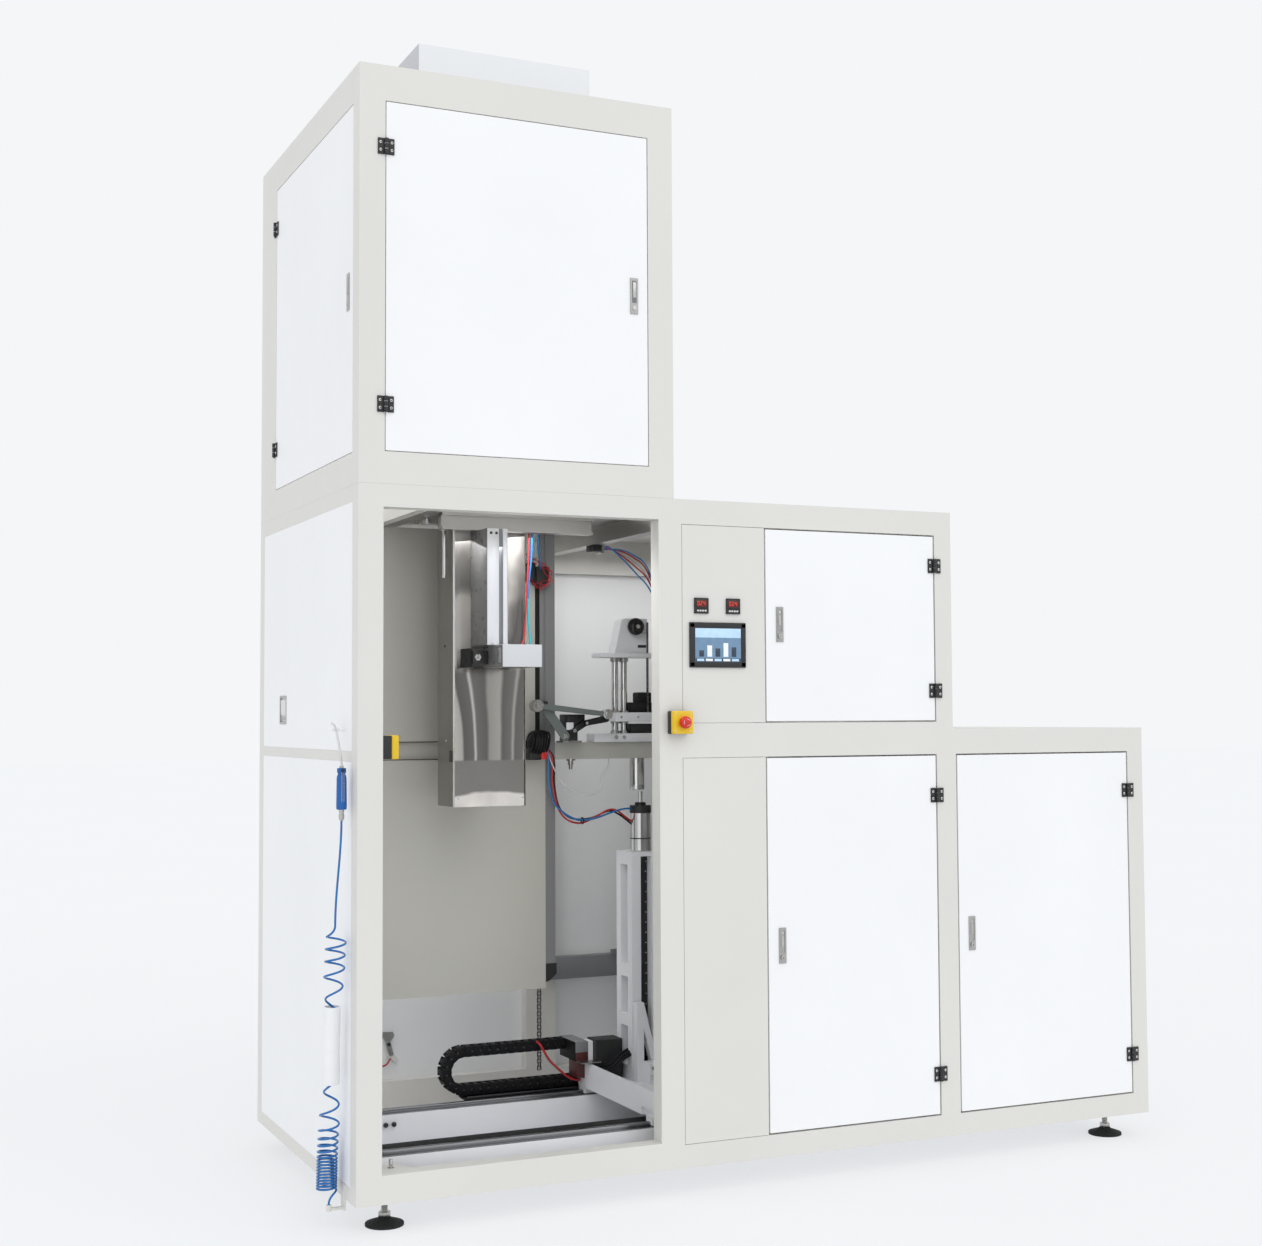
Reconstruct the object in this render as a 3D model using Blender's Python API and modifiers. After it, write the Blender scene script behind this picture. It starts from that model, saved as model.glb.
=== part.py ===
# Six-side vacuum packing machine: a stepped sheet-metal cabinet on adjustable feet, with a
# tower over the filling bay, three hinged service doors, and the filling spout, clamp, rails
# and bag carriage that show through the open front.
#
# Every size is in metres. Pieces are laid out in the cabinet's own frame: X runs right along
# the front, Y runs back into the cabinet, Z is up, and the origin is the front left bottom
# corner of the cabinet body. One empty then shifts the whole machine to its row frame.

import math

import bmesh
import bpy
from mathutils import Matrix, Vector

# Overall cabinet
LENGTH = 2.890
DEPTH = 1.250
TOWER_LENGTH = 1.030
MID_END = 2.080
MID_HEIGHT = 2.100
LOW_HEIGHT = 1.362
TOWER_HEIGHT = 1.260
TOWER_TOP = MID_HEIGHT + TOWER_HEIGHT
FRAME_DEPTH = 0.058
SIDE_FRAME = 0.040
SEAT = 0.0003
SHEET = 0.003
PANEL = 0.018

# Feet
FOOT_HEIGHT = 0.085
FOOT_INSET_X = 0.115
FOOT_INSET_Y = 0.100
FOOT_INSET_LEFT_BACK = 0.150
PAD_RADIUS = 0.058
PAD_HEIGHT = 0.026
STEM_RADIUS = 0.010
NUT_RADIUS = 0.019
NUT_HEIGHT = 0.014
FOOT_PLATE = 0.060
FOOT_PLATE_THICKNESS = 0.006
FOOT_NECK_SHARE = 1.6
PAD_SHOULDER_SHARE = 0.72
PAD_SHOULDER_HEIGHT_SHARE = 0.55
PAD_RIM_HEIGHT_SHARE = 0.30
ROUND_STEPS = 32

# Front openings and doors
OPENING_LEFT = 0.077
BAY_JAMB = 0.054
OPENING_RIGHT = TOWER_LENGTH - BAY_JAMB
OPENING_BOTTOM = 0.084
OPENING_HEAD = 0.068
OPENING_TOP = MID_HEIGHT - OPENING_HEAD
PANEL_INSET = 0.028
PANEL_LEFT = TOWER_LENGTH + PANEL_INSET
PANEL_COLUMN = 0.302
MID_DOOR_LEFT = PANEL_LEFT + PANEL_COLUMN
DOOR_STILE = 0.071
MID_DOOR_RIGHT = MID_END - DOOR_STILE
DOOR_SILL = 0.030
UPPER_DOOR_BOTTOM = LOW_HEIGHT + DOOR_SILL
UPPER_DOOR_HEAD = 0.085
UPPER_DOOR_TOP = MID_HEIGHT - UPPER_DOOR_HEAD
LOWER_DOOR_BOTTOM = 0.077
LOWER_DOOR_HEAD = 0.089
LOWER_DOOR_TOP = LOW_HEIGHT - LOWER_DOOR_HEAD
LOW_DOOR_STILE = 0.016
LOW_DOOR_LEFT = MID_END + LOW_DOOR_STILE
LOW_DOOR_RIGHT = LENGTH - DOOR_STILE
DOOR_GAP = 0.005
DOOR_THICKNESS = 0.022
DOOR_EDGE = 0.0015
PANEL_GAP = 0.0015
PANEL_POST_WIDTH = 0.030
PANEL_POST_INSET = 0.010
PANEL_POST_PAST = 0.030
PANEL_POST_BACK = 0.005

# Hinges and locks
HINGE_HEIGHT = 0.048
HINGE_LEAF = 0.025
LEAF_THICKNESS = 0.003
KNUCKLE_RADIUS = 0.006
PIN_RADIUS = 0.0022
PIN_SIDES = 12
BORE_RADIUS = 0.0031
KNUCKLE_GAP = 0.0006
KNUCKLE_SIDES = 16
HINGE_BURY = 0.001
BRIDGE_SINK = 0.0002
LEAF_CLEARANCE = 0.004
HINGE_INSET_UPPER = 0.100
HINGE_INSET_LOWER = 0.133
LOCK_WIDTH = 0.026
LOCK_HEIGHT = 0.114
LOCK_PROUD = 0.003
LOCK_INSET = 0.050
LOCK_RECESS = 0.002
LOCK_RECESS_HALF_SHARE = 0.30
LOCK_RECESS_LOW_SHARE = 0.20
LOCK_RECESS_TOP_SHARE = 0.42
LOCK_BOSS_DROP_SHARE = 0.33
LOCK_BOSS_RADIUS_SHARE = 0.27
LOCK_BOSS_LENGTH = 0.004
UPPER_LOCK_OFFSET = 0.0025
UPPER_LOCK_Z = (UPPER_DOOR_BOTTOM + UPPER_DOOR_TOP) / 2 + UPPER_LOCK_OFFSET
LOWER_LOCK_OFFSET = -0.005
LOWER_LOCK_Z = (LOWER_DOOR_BOTTOM + LOWER_DOOR_TOP) / 2 + LOWER_LOCK_OFFSET

# Side panels and back wall
SIDE_PANEL_MARGIN = 0.062
SIDE_PANEL_FRONT = SIDE_PANEL_MARGIN
SIDE_PANEL_BACK = DEPTH - SIDE_PANEL_MARGIN
SIDE_UPPER_DROP = 0.051
SIDE_UPPER_BOTTOM = LOW_HEIGHT - SIDE_UPPER_DROP
SIDE_UPPER_HEAD = 0.050
SIDE_UPPER_TOP = MID_HEIGHT - SIDE_UPPER_HEAD
SIDE_LOWER_BOTTOM = 0.044
SIDE_LOWER_HEAD = 0.082
SIDE_LOWER_TOP = LOW_HEIGHT - SIDE_LOWER_HEAD
LATCH_FROM_BACK = 0.283
LATCH_Y = SIDE_PANEL_BACK - LATCH_FROM_BACK
LATCH_RISE = 0.126
LATCH_Z = SIDE_UPPER_BOTTOM + LATCH_RISE
LATCH_WIDTH = 0.090
LATCH_HEIGHT = 0.096
LATCH_DEPTH = 0.006
BACK_LOW_BAND = 0.105
BACK_HEAD = 0.146
BACK_TOP_BAND = MID_HEIGHT - BACK_HEAD
BACK_POST_WIDTH = 0.120
BACK_POST_INSET = 0.043
BACK_POST_LEFT = TOWER_LENGTH - BACK_POST_INSET
BACK_POST_RIGHT = BACK_POST_LEFT + BACK_POST_WIDTH
BACK_MARGIN = 0.060
WALL_RAIL_INSET = 0.020
WALL_RAIL_DEPTH = 0.045
WALL_RAIL_BOTTOM = 0.434
WALL_RAIL_HEIGHT = 0.079

# Tower
TOWER_WALL = 0.045
TOWER_DOOR_LEFT = 0.080
TOWER_DOOR_STILE = 0.086
TOWER_DOOR_RIGHT = TOWER_LENGTH - TOWER_DOOR_STILE
TOWER_DOOR_SILL = 0.097
TOWER_DOOR_BOTTOM = MID_HEIGHT + TOWER_DOOR_SILL
TOWER_DOOR_HEAD = 0.108
TOWER_DOOR_TOP = TOWER_TOP - TOWER_DOOR_HEAD
TOWER_SIDE_FRONT = 0.065
TOWER_SIDE_POST = 0.215
TOWER_SIDE_BACK = DEPTH - TOWER_SIDE_POST
TOWER_HINGE_INSET = 0.140
TOWER_LOCK_OFFSET = 0.0125
TOWER_LOCK_Z = (TOWER_DOOR_BOTTOM + TOWER_DOOR_TOP) / 2 + TOWER_LOCK_OFFSET
DUCT_LEFT = 0.270
DUCT_SIDE_MARGIN = 0.170
DUCT_RIGHT = TOWER_LENGTH - DUCT_SIDE_MARGIN
DUCT_FRONT = 0.270
DUCT_BACK_MARGIN = 0.400
DUCT_BACK = DEPTH - DUCT_BACK_MARGIN
DUCT_HEIGHT = 0.190

# Control devices. The screen and the controllers share the panel's spare height above and below.
HMI_INSET = 0.023
HMI_LEFT = PANEL_LEFT + HMI_INSET
HMI_WIDTH = 0.201
HMI_HEIGHT = 0.144
HMI_PROUD = 0.007
HMI_BEZEL = 0.018
HMI_BODY_INSET = 0.012
HMI_BODY_BACK = 0.045
HMI_RECESS = 0.001
CONTROLLER_SIZE = 0.050
CONTROLLER_GAP = 0.028
CONTROLLER_INSETS = (0.041, 0.155)
CONTROLLER_PROUD = 0.006
CONTROLLER_RIM = 0.003
CONTROLLER_BACK = 0.055
DEVICES_LOW_SHARE = 0.42893
DEVICES_HEIGHT = HMI_HEIGHT + CONTROLLER_GAP + CONTROLLER_SIZE
HMI_BOTTOM = UPPER_DOOR_BOTTOM + DEVICES_LOW_SHARE * (UPPER_DOOR_TOP - UPPER_DOOR_BOTTOM
                                                     - DEVICES_HEIGHT)
CONTROLLER_BOTTOM = HMI_BOTTOM + HMI_HEIGHT + CONTROLLER_GAP
ESTOP_INSET = 0.027
ESTOP_LEFT = TOWER_LENGTH - ESTOP_INSET
ESTOP_DROP = 0.008
ESTOP_BOTTOM = LOW_HEIGHT - ESTOP_DROP
ESTOP_WIDTH = 0.070
ESTOP_HEIGHT = 0.072
ESTOP_DEPTH = 0.045
BUTTON_RADIUS = 0.020
BUTTON_PROUD = 0.028
BUTTON_NECK = 0.010
BUTTON_NECK_SHARE = 0.62
BUTTON_ROOT_SHARE = 0.72
BUTTON_SIDES = 24
ESTOP_EDGE = 0.004
DEVICE_EDGE = 0.0015

# Ceiling of the filling bay, spout and bag clamp
CEILING_DROP = 0.040
CEILING_Z = MID_HEIGHT - CEILING_DROP
CEILING_BEAM_HEIGHT = 0.055
CEILING_BEAM_WIDTH = 0.050
CEILING_LEFT = 0.330
CEILING_LEFT_FLANGE = 0.010
CEILING_BEAM_INSET = 0.030
CEILING_RIGHT_BEAM = TOWER_LENGTH - CEILING_BEAM_INSET
CEILING_PLATE_FRONT = 0.285
CEILING_BACK_MARGIN = 0.150
CEILING_PLATE_BACK = DEPTH - CEILING_BACK_MARGIN
CEILING_BAR_INSET = 0.025
CEILING_BAR_SHORT = 0.127
CEILING_BAR_RIGHT = CEILING_RIGHT_BEAM - CEILING_BAR_SHORT
CEILING_BAR_DEPTH = 0.040
BAR_LIP = 0.010
BAR_GROOVE_DEPTH = 0.012
SPOUT_LEFT = 0.416
SPOUT_RIGHT = 0.668
SPOUT_FRONT = 0.358
SPOUT_BACK = 0.520
SPOUT_LENGTH = 0.938
SPOUT_BOTTOM = CEILING_Z - SPOUT_LENGTH
SPOUT_WALL = 0.004
SPOUT_ROUND = 0.012
CLAMP_LEFT = 0.475
CLAMP_WIDTH = 0.070
CLAMP_FRONT = 0.205
CLAMP_LENGTH = 0.424
CLAMP_BOTTOM = CEILING_Z - CLAMP_LENGTH
GROOVE_DEPTH = 0.008
GROOVE_INSET = 0.016
GROOVE_WIDTH = 0.014
GRIP_TOP = CLAMP_BOTTOM - SEAT
GRIP_BOX_LEFT = 0.500
GRIP_BOX_RIGHT = 0.631
GRIP_BOX_FRONT = 0.130
GRIP_BOX_BACK = 0.310
GRIP_BOX_HEIGHT = 0.070
GRIP_BLOCK_LEFT = 0.450
GRIP_BLOCK_FRONT = 0.262
GRIP_BLOCK_BACK = 0.346
GRIP_BLOCK_TOP = 0.016
GRIP_BLOCK_LOW = 0.058
GRIP_PLATE_LEFT = 0.438
GRIP_PLATE_FRONT = 0.276
GRIP_PLATE_BACK = 0.352
GRIP_PLATE_TOP = 0.008
GRIP_PLATE_LOW = 0.068

# Inner walls, post and mid beam
INNER_PANEL_Y = 0.700
INNER_PANEL_THICKNESS = 0.016
INNER_PANEL_BOTTOM = 0.476
MID_BEAM_DROP = 0.042
MID_BEAM_TOP = LOW_HEIGHT - MID_BEAM_DROP
MID_BEAM_HEIGHT = 0.058
MID_BEAM_BOTTOM = MID_BEAM_TOP - MID_BEAM_HEIGHT
INNER_PANEL_LAP = 0.004
INNER_PANEL_TOP = MID_BEAM_BOTTOM + INNER_PANEL_LAP
CHANNEL_LAP = 0.010
CHANNEL_RISE = 0.008
CHANNEL_TOP = MID_BEAM_TOP + CHANNEL_RISE
POST_INSET = 0.160
POST_LEFT = TOWER_LENGTH - POST_INSET
INNER_UPPER_GAP = 0.038
INNER_UPPER_RIGHT = POST_LEFT - INNER_UPPER_GAP
POST_WIDTH = 0.036
POST_DEPTH = 0.045
POST_BOTTOM = 0.560

# Head unit on the mid beam, midway up to the roof and tied to the tower's right side
ROD_RADIUS = 0.012
ROD_SIDES = 20
ROD_INSETS = (0.115, 0.150)
ROD_X = (TOWER_LENGTH + ROD_INSETS[0], TOWER_LENGTH + ROD_INSETS[1])
HEAD_DROP = 0.083
ROD_TOP = (MID_BEAM_TOP + MID_HEIGHT - PANEL) / 2 - HEAD_DROP
HEAD_PLATE_INSET = 0.045
HEAD_PLATE_LEFT = TOWER_LENGTH + HEAD_PLATE_INSET
HEAD_PLATE_WIDTH = 0.255
HEAD_PLATE_RIGHT = HEAD_PLATE_LEFT + HEAD_PLATE_WIDTH
HEAD_PLATE_THICKNESS = 0.016
KNOB_INSET = 0.175
HEAD_KNOB_X = TOWER_LENGTH + KNOB_INSET
KNOB_RISE = 0.110
HEAD_KNOB_Z = ROD_TOP + KNOB_RISE
HEAD_KNOB_RADIUS = 0.031
KNOB_LENGTH = 0.045
HEAD_PLATE_DEPTH = 0.090
HEAD_BLOCK_FOOT = 0.100
HEAD_BLOCK_LEFT = TOWER_LENGTH + HEAD_BLOCK_FOOT
HEAD_BLOCK_WIDTH = 0.130
HEAD_BLOCK_RIGHT = HEAD_BLOCK_LEFT + HEAD_BLOCK_WIDTH
HEAD_BLOCK_SLANT = 0.032
HEAD_BLOCK_DEPTH = 0.060
HEAD_BLOCK_RISE = 0.030
ROD_CLAMP_INSET = 0.100
ROD_CLAMP_LEFT = TOWER_LENGTH + ROD_CLAMP_INSET
ROD_CLAMP_RISE = 0.072
ROD_CLAMP_BOTTOM = MID_BEAM_TOP + ROD_CLAMP_RISE
ROD_CLAMP_HEIGHT = 0.032
FOOT_BLOCK_INSET = 0.020
FOOT_BLOCK_LEFT = TOWER_LENGTH + FOOT_BLOCK_INSET
FOOT_BLOCK_WIDTH = 0.280
FOOT_BLOCK_RIGHT = FOOT_BLOCK_LEFT + FOOT_BLOCK_WIDTH
FOOT_BLOCK_HEIGHT = 0.030
FOOT_BLOCK_DEPTH = 0.070
TOP_TUBE_INSET = 0.200
TOP_TUBE_X = TOWER_LENGTH + TOP_TUBE_INSET
TOP_TUBE_RADIUS = 0.026
TOP_TUBE_LENGTH = 0.111
TOP_TUBE_BOTTOM = MID_BEAM_BOTTOM - TOP_TUBE_LENGTH

# Gripper beside the post: a lever and a link plate between a pivot and a joint, over a stand
GRIPPER_INSET = 0.055
GRIPPER_LEFT = POST_LEFT - GRIPPER_INSET
GRIPPER_SPAN = 0.262
GRIPPER_RIGHT = GRIPPER_LEFT + GRIPPER_SPAN
GRIPPER_RISE = 0.128
GRIPPER_DROP = 0.030
GRIPPER_Z = MID_BEAM_TOP + GRIPPER_RISE
GRIPPER_ROOT = 0.026
GRIPPER_TIP = 0.014
GRIPPER_DEPTH = 0.014
GRIPPER_REACH = 0.068
GRIPPER_PIVOT_RADIUS = 0.022
GRIPPER_JOINT_RADIUS = 0.018
GRIPPER_PIN_LENGTH = 0.040
LINK_TOP_INSET = 0.030
LINK_LOW_INSET = 0.108
LINK_WIDTH = 0.034
LINK_RISE = 0.022
LINK_SINK = 0.004
GRIPPER_STAND_INSET = 0.120
GRIPPER_STAND_WIDTH = 0.040
GRIPPER_STAND_DEPTH = 0.030
GRIPPER_STAND_LAP = 0.006

# Rails and carriage
FRONT_RAIL_FACE = 0.150
BACK_RAIL_FACE = 0.700
RAIL_BEAM_WIDTH = 0.080
RAIL_BEAM_TOP = 0.098
RAIL_WIDTH = 0.020
RAIL_TOP = 0.110
TRACK_INSET = 0.020
CARRIAGE_INSET = 0.010
CARRIAGE_LEFT = TOWER_LENGTH - CARRIAGE_INSET
CARRIAGE_LENGTH = 0.320
CARRIAGE_RIGHT = CARRIAGE_LEFT + CARRIAGE_LENGTH
CARRIAGE_FRONT = 0.140
CARRIAGE_BACK = 0.770
CARRIAGE_PLATE_BOTTOM = 0.122
CARRIAGE_PLATE_TOP = 0.148
FLANGE_TOP = 0.208
FLANGE_THICKNESS = 0.010
FLANGE_STEP_FRONT = 0.245
SHOE_LENGTH = 0.070
SHOE_WIDTH = 0.048
SHOE_BOTTOM = 0.101
SHOE_END = 0.002
SHOE_BACK = 0.001
LADDER_INSET = 0.145
TOWER_FRAME_LEFT = CARRIAGE_LEFT + LADDER_INSET
LADDER_WIDTH = 0.105
TOWER_FRAME_RIGHT = TOWER_FRAME_LEFT + LADDER_WIDTH
TOWER_FRAME_FRONT = 0.630
TOWER_FRAME_BACK = 0.760
LADDER_THICKNESS = 0.035
LADDER_STILE = 0.036
CYLINDER_RADIUS = 0.036
LIFT_ROD_RADIUS = 0.0085
LIFT_CLEARANCE = 0.007
LIFT_ROD_TOP = TOP_TUBE_BOTTOM - LIFT_CLEARANCE
LIFT_ROD_SHOWN = 0.048
COLLAR_TOP = LIFT_ROD_TOP - LIFT_ROD_SHOWN
COLLAR_HEIGHT = 0.027
CYLINDER_TOP = COLLAR_TOP - COLLAR_HEIGHT
COLLAR_CHAMFER = 0.010
COLLAR_PROUD = 0.002
CYLINDER_LENGTH = 0.134
LADDER_TOP = CYLINDER_TOP - CYLINDER_LENGTH
LADDER_HEAD = 0.045
LADDER_SLOTS = ((0.195, 0.330), (0.370, 0.500), (0.545, LADDER_TOP - LADDER_HEAD))
LADDER_END_PLATE = 0.015
LADDER_HEAD_PROUD = 0.0001
LADDER_LEG_WIDTH = 0.030
LADDER_LEG_DEPTH = 0.040
BRACE_FRONT = 0.590
BRACE_DEPTH = 0.030
BRACE_POST_WIDTH = 0.026
BRACE_TOP = 0.420
BRACE_REACH = 0.070
BRACE_BAR = 0.022
BEARING_LENGTH = 0.060
BEARING_DEPTH = 0.050
BEARING_HEIGHT = 0.072
MOTOR_INSET = 0.032
MOTOR_LEFT = CARRIAGE_LEFT + MOTOR_INSET
MOTOR_LENGTH = 0.103
MOTOR_RIGHT = MOTOR_LEFT + MOTOR_LENGTH
MOTOR_FRONT = 0.690
MOTOR_BACK = 0.768
MOTOR_TOP = 0.285
MOTOR_ROUND = 0.003
CHAIN_FRONT = 0.795
CHAIN_BACK = 0.850
CHAIN_THICKNESS = 0.035
CHAIN_BOTTOM = 0.115
CHAIN_RADIUS = 0.065
CHAIN_BEND_STEPS = 10
CHAIN_BEND_REACH = 0.410
CHAIN_BEND_X = CARRIAGE_LEFT - CHAIN_BEND_REACH
CHAIN_END_GAP = 0.036
CHAIN_TOP_END = CARRIAGE_LEFT - CHAIN_END_GAP
CHAIN_ANCHOR = 0.230
CHAIN_LOW_END = CARRIAGE_LEFT + CHAIN_ANCHOR
CHAIN_ARM_DEPTH = 0.060
CHAIN_ARM_DROP = 0.030
CHAIN_ARM_FOOT = 0.028
TRAY_PAST = 0.150
TRAY_EDGE = 0.012

# Air gun and its hose on the left side, with the hook and the fitting that hold them
HOSE_RADIUS = 0.00325
GUN_RADIUS = 0.016
GUN_DROP = 0.049
GUN_LENGTH = 0.122
GUN_OUT = 0.030
GUN_Y = 0.062
CONNECTOR_RADIUS = 0.0085
CONNECTOR_LENGTH = 0.034
CONNECTOR_DROP = 0.0142
FITTING_ARM_SHARE = 0.8
NOZZLE_RADIUS = 0.0035
HOOK_RADIUS = 0.004
HOOK_REACH = 0.040
FITTING_RADIUS = 0.008
FITTING_REACH = 0.053
FITTING_HEIGHT = 0.018
FITTING_CLEARANCE = 0.0009
FITTING_PLATE = 0.004
FITTING_PLATE_WIDTH = 0.036
FITTING_PLATE_TOP = 0.040

# How far a piece that is joined on reaches into the piece that carries it, how far a cutter
# runs past the face that it opens, and how finely round shapes are cut and merged
BURY = 0.002
CUT_PAST = 0.010
CORNER_STEPS = 4
SHARP_ANGLE = math.radians(40)
MERGE_DISTANCE = 0.00005
SCREW_MERGE = 0.0001

# The row frame's origin is the middle of the footprint, on the floor. The hose fitting stands
# proud on the left and the emergency stop's button stands proud at the front.
SHIFT = Vector((-(LENGTH - FITTING_REACH) / 2, -(DEPTH - ESTOP_DEPTH - BUTTON_PROUD) / 2,
                FOOT_HEIGHT))

# The hinge pieces are joined by the solver that keeps their touching faces closed
LONG_CHAIN = "MANIFOLD"


def fresh_collection(name):
    collection = bpy.data.collections.new(name)
    bpy.context.scene.collection.children.link(collection)
    return collection


for old in list(bpy.data.objects):
    bpy.data.objects.remove(old, do_unlink=True)

PARTS = fresh_collection("six_side_vacuum_packing_machine")
CUTTERS = fresh_collection("cutters")

ORIGIN = bpy.data.objects.new("machine_origin", None)
ORIGIN.location = SHIFT
PARTS.objects.link(ORIGIN)


def material(name, colour, roughness, metallic=0.0):
    made = bpy.data.materials.new(name)
    made.use_nodes = True
    shader = made.node_tree.nodes["Principled BSDF"]
    shader.inputs["Base Color"].default_value = (*colour, 1.0)
    shader.inputs["Roughness"].default_value = roughness
    shader.inputs["Metallic"].default_value = metallic
    return made


BEIGE = material("beige_powder_coat", (0.70, 0.69, 0.63), 0.55)
WHITE = material("white_powder_coat", (0.86, 0.87, 0.88), 0.50)
GREY = material("grey_paint", (0.46, 0.46, 0.43), 0.50)
DARK = material("dark_grey_paint", (0.20, 0.20, 0.20), 0.50)
BLACK = material("black_plastic", (0.02, 0.02, 0.02), 0.45)
STEEL = material("polished_steel", (0.62, 0.60, 0.57), 0.18, 1.0)
ALUMINIUM = material("aluminium", (0.66, 0.67, 0.68), 0.35, 1.0)
YELLOW = material("yellow_plastic", (0.85, 0.62, 0.02), 0.40)
RED = material("red_plastic", (0.70, 0.03, 0.02), 0.35)
BLUE = material("blue_plastic", (0.01, 0.16, 0.60), 0.35)
RUBBER = material("black_rubber", (0.03, 0.03, 0.03), 0.75)


def add_object(name, mesh, finish, location=(0, 0, 0), collection=PARTS):
    """Link a mesh as an object under the machine's empty."""
    made = bpy.data.objects.new(name, mesh)
    made.location = location
    made.parent = ORIGIN
    collection.objects.link(made)
    if finish:
        mesh.materials.append(finish)
    return made


def block(name, x, y, z, finish=None, rounding=0.0, collection=PARTS):
    """A box between pairs of limits, with its origin at its centre."""
    size = Vector((x[1] - x[0], y[1] - y[0], z[1] - z[0]))
    centre = Vector((x[0] + x[1], y[0] + y[1], z[0] + z[1])) / 2
    shape = bmesh.new()
    bmesh.ops.create_cube(shape, size=1.0)
    bmesh.ops.scale(shape, vec=size, verts=shape.verts)
    mesh = bpy.data.meshes.new(name)
    shape.to_mesh(mesh)
    shape.free()
    made = add_object(name, mesh, finish, centre, collection)
    if rounding:
        soften(made, rounding)
    return made


def cylinder(name, centre, radius, length, axis="Z", finish=None, sides=32, top=None,
             collection=PARTS):
    """A cylinder or, with a top radius, a cone, along one axis about its centre."""
    shape = bmesh.new()
    far = radius if top is None else top
    bmesh.ops.create_cone(shape, cap_ends=True, segments=sides, radius1=radius,
                          radius2=far, depth=length)
    turn = {"X": Matrix.Rotation(math.pi / 2, 4, "Y"), "Y": Matrix.Rotation(-math.pi / 2, 4, "X"),
            "Z": Matrix.Identity(4)}[axis]
    bmesh.ops.transform(shape, matrix=turn, verts=shape.verts)
    mesh = bpy.data.meshes.new(name)
    shape.to_mesh(mesh)
    shape.free()
    mesh.shade_smooth()
    mesh.set_sharp_from_angle(angle=SHARP_ANGLE)
    return add_object(name, mesh, finish, centre, collection)


def turned(name, profile, location, finish):
    """A solid of revolution from pairs of radius and height."""
    shape = bmesh.new()
    corners = [shape.verts.new((radius, 0.0, height)) for radius, height in profile]
    for first, second in zip(corners, corners[1:]):
        shape.edges.new((first, second))
    mesh = bpy.data.meshes.new(name)
    shape.to_mesh(mesh)
    shape.free()
    made = add_object(name, mesh, finish, location)
    screw = made.modifiers.new("turned", "SCREW")
    screw.steps = ROUND_STEPS
    screw.render_steps = ROUND_STEPS
    screw.use_merge_vertices = True
    screw.merge_threshold = SCREW_MERGE
    return made


def rounded_column(name, x, y, z, radius, finish=None, collection=PARTS):
    """An upright box whose four upright edges are round."""
    corners = ((x[1] - radius, y[1] - radius, 0), (x[0] + radius, y[1] - radius, 1),
               (x[0] + radius, y[0] + radius, 2), (x[1] - radius, y[0] + radius, 3))
    shape = bmesh.new()
    foot = []
    for centre_x, centre_y, quarter in corners:
        for step in range(CORNER_STEPS + 1):
            angle = (quarter + step / CORNER_STEPS) * math.pi / 2
            foot.append(shape.verts.new((centre_x + radius * math.cos(angle),
                                         centre_y + radius * math.sin(angle), z[0])))
    head = [shape.verts.new((vert.co.x, vert.co.y, z[1])) for vert in foot]
    shape.faces.new(foot[::-1])
    shape.faces.new(head)
    for index in range(len(foot)):
        after = (index + 1) % len(foot)
        shape.faces.new((foot[index], foot[after], head[after], head[index]))
    mesh = bpy.data.meshes.new(name)
    shape.to_mesh(mesh)
    shape.free()
    return add_object(name, mesh, finish, collection=collection)


def soften(target, width):
    """Round the sharp edges."""
    bevel = target.modifiers.new("rounded_edges", "BEVEL")
    bevel.width = width
    bevel.segments = 2
    bevel.limit_method = "ANGLE"
    bevel.angle_limit = SHARP_ANGLE
    return target


def boolean(target, tool, operation, solver):
    """Cut a tool out of a piece, or join it on."""
    for collection in list(tool.users_collection):
        collection.objects.unlink(tool)
    CUTTERS.objects.link(tool)
    tool.hide_render = True
    tool.display_type = "WIRE"
    step = target.modifiers.new(tool.name, "BOOLEAN")
    step.operation = operation
    step.solver = solver
    step.object = tool
    return target


def cut(target, *tools, solver="EXACT"):
    for tool in tools:
        boolean(target, tool, "DIFFERENCE", solver)
    return target


def join(target, *tools, solver="EXACT"):
    for tool in tools:
        boolean(target, tool, "UNION", solver)
    return target


def box_cutter(name, x, y, z):
    return block(name, x, y, z, collection=CUTTERS)


def sheet(name, outline, thickness, plane, offset, finish, holes=()):
    """A flat outline with holes, extruded. plane XZ runs back along Y, YZ runs along X."""
    curve = bpy.data.curves.new(name + "_outline", "CURVE")
    curve.dimensions = "2D"
    curve.fill_mode = "BOTH"
    curve.extrude = thickness / 2
    for points in (outline, *holes):
        spline = curve.splines.new("POLY")
        spline.points.add(len(points) - 1)
        for place, (across, up) in zip(spline.points, points):
            place.co = (across, up, 0.0, 1.0)
        spline.use_cyclic_u = True
    guide = bpy.data.objects.new(name + "_guide", curve)
    CUTTERS.objects.link(guide)
    graph = bpy.context.evaluated_depsgraph_get()
    mesh = bpy.data.meshes.new_from_object(guide.evaluated_get(graph))
    bpy.data.objects.remove(guide, do_unlink=True)
    shape = bmesh.new()
    shape.from_mesh(mesh)
    bmesh.ops.remove_doubles(shape, verts=shape.verts, dist=MERGE_DISTANCE)
    if plane == "XZ":
        turn = Matrix(((1, 0, 0, 0), (0, 0, -1, 0), (0, 1, 0, 0), (0, 0, 0, 1)))
        place = (0, offset + thickness / 2, 0)
    else:
        turn = Matrix(((0, 0, 1, 0), (1, 0, 0, 0), (0, 1, 0, 0), (0, 0, 0, 1)))
        place = (offset + thickness / 2, 0, 0)
    bmesh.ops.transform(shape, matrix=turn, verts=shape.verts)
    bmesh.ops.recalc_face_normals(shape, faces=shape.faces)
    shape.to_mesh(mesh)
    shape.free()
    mesh.name = name
    mesh.materials.clear()
    return add_object(name, mesh, finish, place)


def rectangle(across, up):
    return [(across[0], up[0]), (across[1], up[0]), (across[1], up[1]), (across[0], up[1])]


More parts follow.
